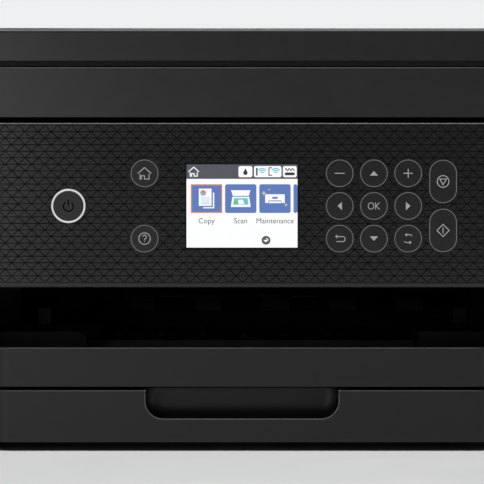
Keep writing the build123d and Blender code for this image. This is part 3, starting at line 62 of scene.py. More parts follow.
class Finish:
    """A node material, with short calls for the nodes that the finishes share."""

    def __init__(self, name, **shader_values):
        self.material = bpy.data.materials.new(name)
        self.material.use_nodes = True
        self.tree = self.material.node_tree
        self.shader = self.tree.nodes["Principled BSDF"]
        for socket, value in shader_values.items():
            self.shader.inputs[socket.replace("_", " ")].default_value = value
        self.place = self.node("ShaderNodeTexCoord").outputs["Object"]

    def put(self, socket, value):
        if isinstance(value, bpy.types.NodeSocket):
            self.tree.links.new(value, socket)
        else:
            socket.default_value = value

    def node(self, kind, inputs=None, **settings):
        made = self.tree.nodes.new(kind)
        for key, value in settings.items():
            setattr(made, key, value)
        for key, value in (inputs or {}).items():
            self.put(made.inputs[key], value)
        return made

    def stretched(self, x, y, z):
        """The place, scaled along each axis, for grain that runs one way."""
        scaled = self.node("ShaderNodeVectorMath", {0: self.place, 1: (x, y, z)}, operation="MULTIPLY")
        return scaled.outputs["Vector"]

    def noise(self, scale, detail=2.0, place=None):
        made = self.node("ShaderNodeTexNoise",
                         {"Vector": place or self.place, "Scale": scale, "Detail": detail})
        return made.outputs["Fac"]

    def patches(self, scale, detail, low=0.0, high=1.0):
        """Noise whose usual values are spread from low to high."""
        return self.remap(self.noise(scale, detail), 0.3, 0.7, low, high)

    def stripes(self, scale, direction):
        made = self.node("ShaderNodeTexWave", {"Vector": self.place, "Scale": scale},
                         bands_direction=direction)
        return made.outputs["Fac"]

    def cells(self, scale):
        return self.node("ShaderNodeTexVoronoi", {"Vector": self.place, "Scale": scale}).outputs["Distance"]

    def remap(self, value, low, high, out_low, out_high):
        made = self.node("ShaderNodeMapRange", {"Value": value, "From Min": low, "From Max": high,
                                                "To Min": out_low, "To Max": out_high})
        return made.outputs["Result"]

    def maths(self, operation, a, b=0.0):
        return self.node("ShaderNodeMath", {0: a, 1: b}, operation=operation).outputs[0]

    def mix(self, share, a, b):
        made = self.node("ShaderNodeMix", {0: share, 6: a, 7: b}, data_type="RGBA")
        return made.outputs[2]

    def axis(self, name):
        return self.node("ShaderNodeSeparateXYZ", {0: self.place}).outputs[name]

    def facing_up(self):
        """1 where the surface faces up, 0 where it is upright or faces down."""
        normal = self.node("ShaderNodeNewGeometry").outputs["Normal"]
        z = self.node("ShaderNodeSeparateXYZ", {0: normal}).outputs["Z"]
        return self.remap(z, 0.6, 1.0, 0.0, 1.0)

    def bump(self, height, strength, depth, under=None):
        made = self.node("ShaderNodeBump", {"Height": height, "Strength": strength, "Distance": depth})
        if under is not None:
            self.put(made.inputs["Normal"], under)
        return made.outputs["Normal"]

    def done(self, colour=None, roughness=None, normal=None):
        for socket, value in (("Base Color", colour), ("Roughness", roughness), ("Normal", normal)):
            if value is not None:
                self.put(self.shader.inputs[socket], value)
        return self.material


def rgb(red, green, blue):
    return (red, green, blue, 1.0)


def shade(colour, factor):
    return (colour[0] * factor, colour[1] * factor, colour[2] * factor, 1.0)


CASE_BLACK = rgb(0.0092, 0.0092, 0.0097)
GROUND_STEEL = rgb(0.68, 0.68, 0.69)
BLACKENED_STEEL = rgb(0.012, 0.012, 0.0125)
DUST = rgb(0.55, 0.54, 0.52)


def moulded(name, colour, roughness, grain=1900, depth=0.03, dust=0.015, scuffs=0.05, **shader_values):
    """Moulded plastic: spark-eroded grain, colour drift, hairline scuffs, and dust where it faces up."""
    f = Finish(name, **shader_values)
    drift = f.remap(f.noise(40, 4), 0.35, 0.65, 0.0, 1.0)
    base = f.mix(drift, shade(colour, 0.96), shade(colour, 1.04))
    fleck = f.patches(grain * 0.7, 1, 0.0, 0.22)
    base = f.mix(fleck, base, shade(colour, 1.7))
    hair = f.noise(1, 3, f.stretched(30, 30, 900))
    hairline = f.remap(hair, 0.62, 0.72, 0.0, 1.0)
    settled = f.maths("MULTIPLY", f.facing_up(), f.remap(f.noise(420, 8), 0.45, 0.75, 0.0, dust))
    base = f.mix(settled, base, DUST)
    rough = f.patches(160, 5, roughness - 0.02, roughness + 0.02)
    rough = f.maths("ADD", rough, f.maths("MULTIPLY", hairline, scuffs))
    return f.done(base, rough, f.bump(f.noise(grain, 1.5), 0.5, depth * MM))


def glossy(name, colour, roughness=0.16):
    """Polished or lacquered plastic with faint wiping marks."""
    f = Finish(name, Coat_Weight=0.4, Coat_Roughness=0.08)
    base = f.mix(f.patches(40, 3), shade(colour, 0.92), shade(colour, 1.08))
    wiped = f.noise(1, 4, f.stretched(90, 90, 700))
    rough = f.remap(wiped, 0.35, 0.7, roughness, roughness + 0.12)
    return f.done(base, rough, f.bump(f.noise(900, 1), 0.2, 0.006 * MM))


def printed_ink(name, colour, roughness=0.5, **shader_values):
    """Pad-printed ink: slightly uneven cover over the plastic."""
    f = Finish(name, **shader_values)
    cover = f.patches(2600, 3)
    base = f.mix(cover, shade(colour, 0.86), shade(colour, 1.05))
    return f.done(base, f.patches(700, 2, roughness - 0.08, roughness + 0.08),
                  f.bump(f.noise(3200, 2), 0.3, 0.01 * MM))


def rolled_steel(name, colour, roughness, along=(900, 40, 900), oil=0.0):
    """Sheet or bar steel with a drawn grain and a thin uneven film of oil or zinc bloom."""
    f = Finish(name, Metallic=1.0, Anisotropic=0.35)
    grain = f.noise(1, 3, f.stretched(*along))
    bloom = f.remap(f.noise(26, 6), 0.35, 0.7, 0.0, 1.0)
    base = f.mix(bloom, shade(colour, 0.86), shade(colour, 1.06))
    base = f.mix(f.remap(grain, 0.3, 0.7, 0.0, 0.35), base, shade(colour, 0.7))
    rough = f.remap(grain, 0.3, 0.7, roughness - 0.05, roughness + 0.1)
    if oil:
        rough = f.maths("SUBTRACT", rough, f.remap(f.noise(18, 3), 0.5, 0.7, 0.0, oil))
    return f.done(base, rough, f.bump(grain, 0.35, 0.015 * MM))


def soft_rubber(name, colour):
    """Matt rubber with a ground, slightly dusty skin."""
    f = Finish(name, Sheen_Weight=0.15)
    ground = f.noise(1, 3, f.stretched(300, 2400, 2400))
    base = f.mix(f.remap(ground, 0.3, 0.7, 0.0, 1.0), shade(colour, 0.8), shade(colour, 1.3))
    paper_dust = f.remap(f.noise(130, 5), 0.55, 0.8, 0.0, 0.3)
    base = f.mix(paper_dust, base, rgb(0.5, 0.49, 0.46))
    return f.done(base, f.patches(400, 2, 0.72, 0.9), f.bump(ground, 0.6, 0.05 * MM))


def foam_skin(name):
    """White foam backing with small open cells under a faint weave of wrinkles."""
    f = Finish(name, Sheen_Weight=0.25)
    cells = f.cells(1500.0)
    clouds = f.patches(22, 5)
    base = f.mix(clouds, rgb(0.78, 0.78, 0.76), rgb(0.84, 0.84, 0.83))
    # painted shade: the open cells are painted darker grey
    base = f.mix(f.remap(cells, 0.0, 0.5, 0.28, 0.0), base, rgb(0.6, 0.6, 0.58))
    normal = f.bump(cells, 0.6, 0.08 * MM)
    normal = f.bump(f.noise(60, 3), 0.3, 0.4 * MM, normal)
    return f.done(base, f.patches(300, 2, 0.78, 0.92), normal)


def pane(name, tint):
    """Float glass with a green edge and faint wiping marks."""
    f = Finish(name, Transmission_Weight=0.92, IOR=1.5)
    smear = f.noise(1, 4, f.stretched(14, 60, 14))
    base = f.mix(f.remap(smear, 0.3, 0.7, 0.0, 1.0), tint, shade(tint, 0.96))
    return f.done(base, f.remap(smear, 0.45, 0.75, 0.01, 0.03), f.bump(f.noise(6, 1), 0.02, 0.05 * MM))


def clear_film(name):
    """Grey timing film with its fine printed lines."""
    f = Finish(name, Transmission_Weight=0.35)
    lines = f.stripes(950.0, "X")
    base = f.mix(lines, rgb(0.05, 0.05, 0.055), rgb(0.5, 0.5, 0.5))
    return f.done(base, f.patches(200, 2, 0.2, 0.35), f.bump(lines, 0.1, 0.004 * MM))


def circuit_board(name):
    """Green solder mask over copper runs, with tinned pads and via holes."""
    f = Finish(name, Coat_Weight=0.3, Coat_Roughness=0.2)
    runs = f.node("ShaderNodeTexBrick", {"Vector": f.stretched(1, 1, 1), "Scale": 260.0, "Mortar Size": 0.03,
                                         "Color1": (0, 0, 0, 1), "Color2": (0.1, 0.1, 0.1, 1),
                                         "Mortar": (1, 1, 1, 1)}).outputs["Color"]
    wander = f.remap(f.noise(170, 1), 0.49, 0.51, 0.0, 1.0)
    base = f.mix(wander, rgb(0.012, 0.1, 0.035), rgb(0.02, 0.16, 0.055))
    base = f.mix(f.maths("MULTIPLY", runs, 0.5), base, rgb(0.03, 0.22, 0.08))
    pad = f.remap(f.cells(330.0), 0.1, 0.16, 1.0, 0.0)
    base = f.mix(pad, base, rgb(0.6, 0.58, 0.52))
    # the parts that stand on the board are black, and the socket at its back is plated
    base = f.mix(f.maths("GREATER_THAN", f.axis("X"), BOARD_SKIN + EDGE), base, rgb(0.014, 0.014, 0.015))
    socket = f.maths("GREATER_THAN", f.axis("Y"), SOCKET_FRONT)
    base = f.mix(socket, base, rgb(0.5, 0.5, 0.51))
    f.put(f.shader.inputs["Metallic"], socket)
    return f.done(base, f.remap(pad, 0.0, 1.0, 0.38, 0.22), f.bump(runs, 0.4, 0.03 * MM))


def acetal(name, colour):
    """Waxy gear plastic, with grease in the tooth gaps."""
    f = Finish(name, Subsurface_Weight=0.15, Subsurface_Radius=(0.002, 0.002, 0.0015))
    base = f.mix(f.patches(30, 4), shade(colour, 0.93), shade(colour, 1.03))
    grease = f.remap(f.noise(120, 4), 0.58, 0.7, 0.0, 0.5)
    base = f.mix(grease, base, rgb(0.5, 0.44, 0.3))
    return f.done(base, f.remap(grease, 0.0, 0.5, 0.42, 0.2), f.bump(f.noise(700, 2), 0.3, 0.02 * MM))


def lit(name, top, bottom, strength, z_low, z_high):
    """A lit part of the screen: its colour runs from bottom to top, under the display's dot grid."""
    f = Finish(name, Base_Color=rgb(0.01, 0.01, 0.012), Roughness=0.25)
    height = f.remap(f.axis("Z"), z_low, z_high, 0.0, 1.0)
    dots = f.maths("MULTIPLY", f.stripes(1000.0, "X"), f.stripes(1000.0, "Z"))
    grid = f.remap(dots, 0.0, 1.0, 0.12, 0.0)
    glow = f.mix(height, bottom, top)
    glow = f.mix(grid, glow, shade(top, 0.75))
    f.put(f.shader.inputs["Emission Color"], glow)
    f.shader.inputs["Emission Strength"].default_value = strength
    return f.done(None, f.patches(500, 2, 0.22, 0.3), None)


def roller(name, tyres, gear_end, bar, polish):
    """A bar of one colour with rubber tyres between pairs of X, and a moulded gear left of gear_end."""
    f = Finish(name)
    x = f.axis("X")
    tyre = 0.0
    for low, high in tyres:
        over = f.maths("GREATER_THAN", x, low - EDGE)
        tyre = f.maths("MAXIMUM", tyre, f.maths("MULTIPLY", over, f.maths("LESS_THAN", x, high + EDGE)))
    gear = f.maths("LESS_THAN", x, gear_end + EDGE)
    grain = f.noise(1, 3, f.stretched(200, 2400, 2400))
    worn = f.remap(grain, 0.3, 0.7, 0.0, 1.0)
    colour = f.mix(worn, shade(bar, 0.88), shade(bar, 1.05))
    colour = f.mix(tyre, colour, f.mix(worn, rgb(0.016, 0.016, 0.017), rgb(0.028, 0.028, 0.029)))
    colour = f.mix(gear, colour, f.mix(worn, rgb(0.72, 0.71, 0.66), rgb(0.79, 0.78, 0.73)))
    f.put(f.shader.inputs["Metallic"], f.maths("SUBTRACT", 1.0, f.maths("MAXIMUM", tyre, gear)))
    rough = f.maths("ADD", polish, f.maths("MULTIPLY", tyre, 0.8 - polish))
    rough = f.maths("ADD", rough, f.maths("MULTIPLY", gear, 0.4 - polish))
    return f.done(colour, rough, f.bump(grain, 0.4, 0.03 * MM))


def shaded_skirt(name, like, edge):
    """The case's plastic, dull and dark below a height: the lid's skirt in painted shadow under its edge,
    with a painted black line just below the edge.
    """
    f = Finish(name)
    below = f.maths("LESS_THAN", f.axis("Z"), edge)
    # painted shadow: a near-black line just under the lid's edge
    painted_shadow_line_height = 0.9 * MM
    painted_shadow_line = f.maths("MULTIPLY", below, f.maths("GREATER_THAN", f.axis("Z"), edge - painted_shadow_line_height))
    grain = f.noise(1900, 1.5)
    fleck = f.remap(grain, 0.3, 0.7, 0.0, 0.22)
    base = f.mix(fleck, like, shade(like, 1.7))
    settled = f.maths("MULTIPLY", f.facing_up(), f.remap(f.noise(420, 8), 0.45, 0.75, 0.0, 0.015))
    base = f.mix(settled, base, DUST)
    base = f.mix(below, base, shade(like, 0.45))
    base = f.mix(painted_shadow_line, base, shade(like, 0.02))
    rough = f.patches(160, 5, 0.34, 0.38)
    rough = f.maths("ADD", rough, f.maths("MULTIPLY", below, 0.5))
    return f.done(base, rough, f.bump(grain, 0.5, 0.03 * MM))


def painted_light_liner(name, slot_shade_black, painted_lit_edge):
    """The output slot's dull black, darkened as painted shade, and paler on the front edge of its floor as
    painted light.
    """
    f = Finish(name, Specular_IOR_Level=0.12)
    edge = f.maths("LESS_THAN", f.axis("Y"), LINER_EDGE + EDGE)
    for limit, side in ((LINER_LEFT, "GREATER_THAN"), (LINER_RIGHT, "LESS_THAN")):
        edge = f.maths("MULTIPLY", edge, f.maths(side, f.axis("X"), limit))
    grain = f.noise(1500, 1.5)
    # painted light: the front edge of the floor takes the paler colour
    base = f.mix(edge, slot_shade_black, painted_lit_edge)
    base = f.mix(f.remap(grain, 0.3, 0.7, 0.0, 0.1), base, shade(painted_lit_edge, 0.7))
    rough = f.patches(160, 5, 0.72, 0.8)
    return f.done(base, rough, f.bump(grain, 0.5, 0.04 * MM))


finishes = {
    "case": moulded("satin_black_case", CASE_BLACK, 0.38),
    "panel": moulded("satin_black_panel", rgb(0.0062, 0.0062, 0.0066), 0.27, grain=2300, depth=0.02,
                     dust=0.02),
    # painted shade: the relief's grooves are near black, on plastic that is one colour
    "panel_groove_painted_shade": moulded("panel_groove_painted_shade", rgb(0.002, 0.002, 0.002), 0.8, dust=0.0,
                            Specular_IOR_Level=0.1),
    "keys": moulded("satin_black_keys", rgb(0.0078, 0.0078, 0.0081), 0.31, grain=2600, depth=0.012,
                    dust=0.0),
    "tray": moulded("satin_black_tray", rgb(0.0037, 0.0037, 0.004), 0.5, Specular_IOR_Level=0.4),
    # inner parts: black plastic, made darker than the case as painted shade, so that the slot stays black
    "inner": moulded("black_inner_painted_shade", rgb(0.0016, 0.0016, 0.0017), 0.75, grain=1500, depth=0.04, dust=0.004,
                     Specular_IOR_Level=0.12),
    # the slot's floor: near black as painted shade, with a painted lit band on its front edge
    "liner": painted_light_liner("black_liner", rgb(0.0018, 0.0018, 0.0019), rgb(0.014, 0.014, 0.0145)),
    # paper guides: grey plastic painted near black, as painted shade inside the slot
    "guide_grey": moulded("grey_guides_painted_shade", rgb(0.0045, 0.0045, 0.0047), 0.75, grain=1700, dust=0.02,
                          Specular_IOR_Level=0.15),
    "white_plastic": moulded("white_plastic", rgb(0.66, 0.66, 0.65), 0.4, dust=0.0),
    "steel": rolled_steel("zinc_plated_steel", rgb(0.62, 0.63, 0.65), 0.36),
    "shaft_steel": rolled_steel("ground_steel", rgb(0.7, 0.7, 0.71), 0.2, along=(40, 900, 900), oil=0.08),
    "rubber": soft_rubber("black_rubber", rgb(0.02, 0.02, 0.021)),
    "film": clear_film("timing_film"),
    "board": circuit_board("circuit_board"),
    "supply": moulded("supply_housing", rgb(0.05, 0.05, 0.052), 0.5),
    "glass": pane("platen_glass", rgb(0.93, 0.97, 0.95)),
    "ink": moulded("cartridge_black", rgb(0.016, 0.016, 0.017), 0.35),
    "gear": acetal("acetal_gear", rgb(0.78, 0.77, 0.72)),
    "mat_foam": foam_skin("foam_backing"),
    "screen": glossy("screen_glass", rgb(0.004, 0.004, 0.005), 0.08),
}
ring_ink = printed_ink("ring_ink", rgb(0.2, 0.2, 0.2))
icon_ink = printed_ink("symbol_ink", rgb(0.42, 0.42, 0.42))
white_ring = glossy("white_ring", rgb(0.78, 0.78, 0.78), 0.3)

slot_of_node = {name: node.data.materials[0].name.split(".")[0] for name, node in nodes.items()}


def dress(name, material):
    """Gives a CAD node its finish."""
    slots = nodes[name].data.materials
    for i in range(len(slots)):
        slots[i] = material
    if not len(slots):
        slots.append(material)


for name in nodes:
    dress(name, finishes[slot_of_node.get(name, "case")])
dress("slot_liner", finishes["liner"])
dress("document_cover", shaded_skirt("satin_black_cover", CASE_BLACK, COVER_EDGE - EDGE))
dress("feed_roller", roller("feed_roller_finish", [], GEAR_END, GROUND_STEEL, 0.25))
dress("eject_roller", roller("eject_roller_finish", EJECT_TYRES, GEAR_END, BLACKENED_STEEL, 0.7))
dress("pickup_roller", roller("pickup_roller_finish", PICKUP_TYRES, GEAR_END, BLACKENED_STEEL, 0.7))


# ---------------------------------------------------------------- flat work on the printer's front

def add(name, mesh, body, material=None):
    """A new piece from a mesh in the frame's own metres; without a material, the mesh brings its own."""
    piece = bpy.data.objects.new(name, mesh)
    scene.collection.objects.link(piece)
    if material:
        mesh.materials.append(material)
    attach(piece, body)
    return piece


def circle(x, z, radius, steps=48, start=0.0, turn=2 * math.pi):
    """Points round a circle, or round part of it when turn is less than a full one."""
    count = steps if turn >= 2 * math.pi else steps + 1
    angles = [start + turn * i / steps for i in range(count)]
    return [(x + radius * math.cos(angle), z + radius * math.sin(angle)) for angle in angles]


def rounded(x, z, width, height, radius, steps=8):
    """A rectangle with round corners about a centre."""
    points = []
    for i, (sx, sz) in enumerate(((1, 1), (-1, 1), (-1, -1), (1, -1))):
        cx, cz = x + sx * (width / 2 - radius), z + sz * (height / 2 - radius)
        points += circle(cx, cz, radius, steps, start=i * math.pi / 2, turn=math.pi / 2)
    return points


def stroke(points, width):
    """The outline of a line of one width along the points, with mitred corners."""
    left, right = [], []
    for i, (x, z) in enumerate(points):
        before = Vector(points[max(i - 1, 0)])
        after = Vector(points[min(i + 1, len(points) - 1)])
        here = Vector((x, z))
        a = (here - before).normalized() if i else (after - here).normalized()
        b = (after - here).normalized() if i < len(points) - 1 else a
        along = (a + b).normalized()
        reach = width / 2 / max(along.dot(a), 0.35)
        side = Vector((-along.y, along.x)) * reach
        left.append(tuple(here + side))
        right.append(tuple(here - side))
    return left + right[::-1]


def ring(x, z, radius, width):
    """Outer and inner edge of a ring whose outer radius is given."""
    return [circle(x, z, radius, 64), circle(x, z, radius - width, 64)]


def inset(points, width):
    """A closed outline moved inwards by width."""
    moved = []
    for i, here in enumerate(points):
        before, after = Vector(points[i - 1]), Vector(points[(i + 1) % len(points)])
        a, b = (Vector(here) - before).normalized(), (after - Vector(here)).normalized()
        along = (a + b).normalized()
        moved.append(tuple(Vector(here) + Vector((-along.y, along.x)) * (width / max(along.dot(a), 0.3))))
    return moved


def evaluated_mesh(maker):
    """A new mesh of what the curve, text or modifiers of an object in the scene make."""
    bpy.context.view_layer.update()
    return bpy.data.meshes.new_from_object(maker.evaluated_get(bpy.context.evaluated_depsgraph_get()))


def flat_mesh(name, outlines, front, thickness, round_edge=0.0):
    """A plate that faces the front (-Y). Outlines are in x and z; one inside another is a hole."""
    curve = bpy.data.curves.new(name, "CURVE")
    curve.dimensions = "2D"
    curve.fill_mode = "BOTH"
    curve.extrude = thickness / 2 - round_edge
    curve.bevel_depth = round_edge
    curve.bevel_resolution = 1
    curve.offset = -round_edge
    for outline in outlines:
        spline = curve.splines.new("POLY")
        spline.points.add(len(outline) - 1)
        for point, (x, z) in zip(spline.points, outline):
            point.co = (x, z, 0.0, 1.0)
        spline.use_cyclic_u = True
    maker = bpy.data.objects.new(name, curve)
    scene.collection.objects.link(maker)
    mesh = evaluated_mesh(maker)
    bpy.data.objects.remove(maker)
    bpy.data.curves.remove(curve)
    mesh.name = name
    mesh.transform(Matrix.Translation((0, front + thickness / 2, 0)) @ Matrix.Rotation(math.pi / 2, 4, "X"))
    bm = bmesh.new()
    bm.from_mesh(mesh)
    bmesh.ops.remove_doubles(bm, verts=bm.verts, dist=SAME)
    bmesh.ops.recalc_face_normals(bm, faces=bm.faces)
    bm.to_mesh(mesh)
    bm.free()
    return mesh


def middle(node):
    low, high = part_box(node)
    return (low + high) / 2


PANEL_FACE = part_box("panel_shell")[0].y
LINE = 0.36 * MM                # line width of the printed symbols

ROUND_KEYS = ("home", "help", "minus", "up", "plus", "left", "ok", "right", "back", "down", "swap")
OVAL_KEYS = ("stop", "start")
ARROW_KEYS = ("up", "left", "down", "right")    # in anticlockwise quarter turns


# ---------------------------------------------------------------- symbols on the keys

def triangle(x, z, base, height, turn):
    """An isosceles triangle that points up when turn is 0, turned anticlockwise by quarter turns."""
    points = [(-base / 2, -height / 2), (base / 2, -height / 2), (0, height / 2)]
    c, s = math.cos(turn * math.pi / 2), math.sin(turn * math.pi / 2)
    return [(x + c * px - s * pz, z + s * px + c * pz) for px, pz in points]


def house(x, z, size, line):
    """A house in outline, with a door at its left."""
    half, eaves, base = size / 2, z - size * 0.02, z - size * 0.42
    wall, door = size * 0.33, size * 0.24
    roof = stroke([(x - half, eaves), (x, z + size * 0.42), (x + half, eaves)], line)
    left_jamb, right_jamb = x - wall + line * 1.4, x - wall + line * 1.4 + door
    walls = stroke([(x - wall, eaves - line / 2), (x - wall, base), (left_jamb, base),
                    (left_jamb, base + door), (right_jamb, base + door), (right_jamb, base),
                    (x + wall, base), (x + wall, eaves - line / 2)], line)
    return [roof, walls]


def question(x, z, size, line):
    """A question mark in a circle."""
    hook = circle(x, z + size * 0.13, size * 0.15, 14, start=math.pi * 0.95, turn=-math.pi * 1.2)
    hook += [(x, z - size * 0.03), (x, z - size * 0.11)]
    return [*ring(x, z, size / 2, line), stroke(hook, line), circle(x, z - size * 0.22, line * 0.62, 16)]


def ok_letters(x, z, height, line):
    """The letters O and K."""
    o_x, wide = x - height * 0.42, 0.44
    outer = [(o_x + (px - o_x) * wide * 2, pz) for px, pz in circle(o_x, z, height / 2, 36)]
    inner = [(o_x + (px - o_x) * (wide * height - line) / (height / 2 - line), pz)
             for px, pz in circle(o_x, z, height / 2 - line, 36)]
    k_x = x + height * 0.22
    stem = stroke([(k_x, z - height / 2), (k_x, z + height / 2)], line)
    joint = k_x + line * 0.52
    arms = stroke([(k_x + height * 0.56, z + height / 2), (joint + line * 0.5, z - height * 0.02),
                   (k_x + height * 0.6, z - height / 2)], line)
    return [outer, inner, stem, arms]


def u_arrow(x, z, size, line):
    """The arrow that turns back to the left."""
    radius = size * 0.24
    bend = circle(x + size * 0.28, z - radius * 0.2, radius, 12, start=math.pi / 2, turn=-math.pi)
    top_z, low_z = bend[0][1], bend[-1][1]
    head = line * 2.6
    path = [(x - size * 0.42 + head, top_z), *bend, (x - size * 0.3, low_z)]
    return [stroke(path, line), triangle(x - size * 0.44 + head / 2, top_z, line * 5.0, head * 0.96, 1)]


def swap_arrows(x, z, size, line):
    """Two bowed arrows, one over the other, that point opposite ways."""
    shapes = []
    for way in (1, -1):
        head = line * 2.6
        bow = [(x + way * size * (0.42 - 0.11 * k),
                z + way * size * (0.31 + 0.12 * math.sin(k * math.pi / 7))) for k in range(6)]
        tip = Vector(bow[-1]) + Vector((-way * head * 0.52, 0))
        shapes.append(stroke(bow, line))
        shapes.append(triangle(tip.x, tip.y, line * 4.2, head * 1.05, 1 if way > 0 else 3))
    return shapes


def key_symbol(name, x, z):
    if name == "minus":
        return [stroke([(x - 2.2 * MM, z), (x + 2.2 * MM, z)], LINE)]
    if name == "plus":
        arm, half = 2.0 * MM, LINE / 2
        return [[(x + px * arm + qx * half, z + pz * arm + qz * half) for px, pz, qx, qz in (
            (1, 0, 0, -1), (1, 0, 0, 1), (0, 0, 1, 1), (0, 1, 1, 0), (0, 1, -1, 0), (0, 0, -1, 1),
            (-1, 0, 0, 1), (-1, 0, 0, -1), (0, 0, -1, -1), (0, -1, -1, 0), (0, -1, 1, 0), (0, 0, 1, -1))]]
    if name in ARROW_KEYS:
        return [triangle(x, z, 3.6 * MM, 1.95 * MM, ARROW_KEYS.index(name))]
    if name == "ok":
        return ok_letters(x, z, 3.1 * MM, 0.3 * MM)
    if name == "home":
        return house(x, z, 6.0 * MM, LINE)
    if name == "help":
        return question(x, z, 5.4 * MM, LINE)
    if name == "back":
        return u_arrow(x, z, 4.6 * MM, LINE)
    if name == "swap":
        return swap_arrows(x, z, 4.2 * MM, LINE)
    if name == "stop":
        outline = triangle(x, z - 0.3 * MM, 3.5 * MM, 3.1 * MM, 2)
        return [*ring(x, z, 2.75 * MM, LINE), outline, inset(outline, LINE)]
    diamond = circle(x, z, 2.95 * MM, 4)
    return [diamond, inset(diamond, LINE), stroke([(x, z - 1.3 * MM), (x, z + 1.3 * MM)], LINE)]


INK = 0.05 * MM                 # thickness of the printed symbols
RING_INSIDE = 11.5 * MM         # inner width of the raised ring on a key
RING_LINE = 0.28 * MM
RING_PROUD = 0.1 * MM
POWER_R = 7.55 * MM             # the white ring round the power key
POWER_BAND = 0.85 * MM
POWER_PROUD = 0.35 * MM
POWER_LINE = 0.6 * MM


def oval_outline(x, z, width, height):
    return rounded(x, z, width, height, width / 2 - 1e-6, 24)


for name in ROUND_KEYS + OVAL_KEYS:
    low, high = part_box(name + "_button")
    x, z = (low.x + high.x) / 2, (low.z + high.z) / 2
    face_w, face_h = high.x - low.x, high.z - low.z
    symbol = flat_mesh(name + "_symbol", key_symbol(name, x, z), low.y - INK, INK)
    add(name + "_symbol", symbol, "key_" + name, icon_ink)
    inside = oval_outline(x, z, RING_INSIDE, RING_INSIDE + face_h - face_w)
    outside = oval_outline(x, z, RING_INSIDE + 2 * RING_LINE, RING_INSIDE + 2 * RING_LINE + face_h - face_w)
    band = flat_mesh(name + "_ring", [outside, inside], low.y - RING_PROUD, RING_PROUD)
    add(name + "_ring", band, "key_" + name, ring_ink)

power = middle("power_button")
band = flat_mesh("power_ring", ring(power.x, power.z, POWER_R, POWER_BAND), PANEL_FACE - POWER_PROUD,
                 POWER_PROUD, 0.12 * MM)
add("power_ring", band, "panel", white_ring)
arc = circle(power.x, power.z - 0.2 * MM, 2.15 * MM, 28, start=math.radians(125), turn=math.radians(290))
mark = [stroke(arc, POWER_LINE),
        stroke([(power.x, power.z + 0.1 * MM), (power.x, power.z + 2.9 * MM)], POWER_LINE)]
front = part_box("power_button")[0].y
symbol_black = printed_ink("power_symbol_ink", rgb(0.0012, 0.0012, 0.0012), 0.9, Specular_IOR_Level=0.05)
add("power_symbol", flat_mesh("power_symbol", mark, front - INK, INK), "key_power", symbol_black)


# ---------------------------------------------------------------- the panel's triangle relief

ROW = 2.893 * MM               # height of a row of triangles
BASE = 5.82 * MM               # width of a triangle
RELIEF = 0.2 * MM              # how far the triangles stand out
GROOVE = 0.19 * MM             # half the width of the groove between two triangles
NODE_X, NODE_Z = -81.2 * MM, 138.1 * MM    # a point where corners of triangles meet
RELIEF_SIDE, RELIEF_FOOT, RELIEF_HEAD = 2.0 * MM, 1.6 * MM, 2.2 * MM    # margins to the panel's edges
KEY_GAP = 0.5 * MM             # the holes are this much wider than the keys


def relief_mesh(x0, x1, z0, z1):
    """Isosceles triangles with V grooves between them, on a plate that is flat behind."""
    bm = bmesh.new()
    first_row = math.ceil((z0 - NODE_Z) / ROW)
    rows = int((z1 - z0) / ROW)
    corners = {}

    def corner(i, row, y):
        key = (i, row, y)
        if key not in corners:
            x = NODE_X + (i / 2) * BASE
            corners[key] = bm.verts.new((x, y, NODE_Z + row * ROW))
        return corners[key]

    floor = PANEL_FACE - 0.02 * MM
    top = PANEL_FACE - RELIEF
    for row in range(first_row, first_row + rows):
        low_i = math.ceil((x0 - NODE_X) / (BASE / 2))
        high_i = math.floor((x1 - NODE_X) / (BASE / 2))
        for i in range(low_i, high_i - 1):
            upright = (i + row) % 2 == 0
            if upright:
                ids = ((i, row), (i + 2, row), (i + 1, row + 1))
            else:
                ids = ((i, row + 1), (i + 1, row), (i + 2, row + 1))
            outer = [corner(a, b, floor) for a, b in ids]
            flat = [Vector((v.co.x, v.co.z)) for v in outer]
            side = [(flat[k] - flat[k - 1]).length for k in range(3)]
            area = abs((flat[1] - flat[0]).cross(flat[2] - flat[0])) / 2
            shrink = 1 - GROOVE / (2 * area / sum(side))
            incentre = (flat[0] * side[2] + flat[1] * side[0] + flat[2] * side[1]) / sum(side)
            raised = [bm.verts.new((incentre.x + (p.x - incentre.x) * shrink, top,
                                    incentre.y + (p.y - incentre.y) * shrink)) for p in flat]
            bm.faces.new(raised)
            for k in range(3):
                face = bm.faces.new((outer[k - 1], outer[k], raised[k], raised[k - 1]))
                # groove faces take the second material, the painted shade
                face.material_index = 1
    rim = [e for e in bm.edges if len(e.link_faces) == 1]
    back = bmesh.ops.extrude_edge_only(bm, edges=rim)["geom"]
    moved = [v for v in back if isinstance(v, bmesh.types.BMVert)]
    for vert in moved:
        vert.co.y = PANEL_FACE
    bmesh.ops.holes_fill(bm, edges=[e for e in bm.edges if len(e.link_faces) == 1], sides=0)
    bmesh.ops.recalc_face_normals(bm, faces=bm.faces)
    mesh = bpy.data.meshes.new("panel_relief")
    bm.to_mesh(mesh)
    bm.free()
    return mesh


def cut_through(mesh, outlines):
    """Cuts holes of these outlines right through a plate that faces the front."""
    cutter_mesh = flat_mesh("relief_cutter", outlines, PANEL_FACE - 2 * MM, 4 * MM)
    work = bpy.data.objects.new("relief_work", mesh)
    cutter = bpy.data.objects.new("relief_cutter", cutter_mesh)
    for o in (work, cutter):
        scene.collection.objects.link(o)
    cut = work.modifiers.new("cut", "BOOLEAN")
    cut.operation, cut.solver, cut.object = "DIFFERENCE", "EXACT", cutter
    result = evaluated_mesh(work)
    for o in (work, cutter):
        bpy.data.objects.remove(o)
    return result


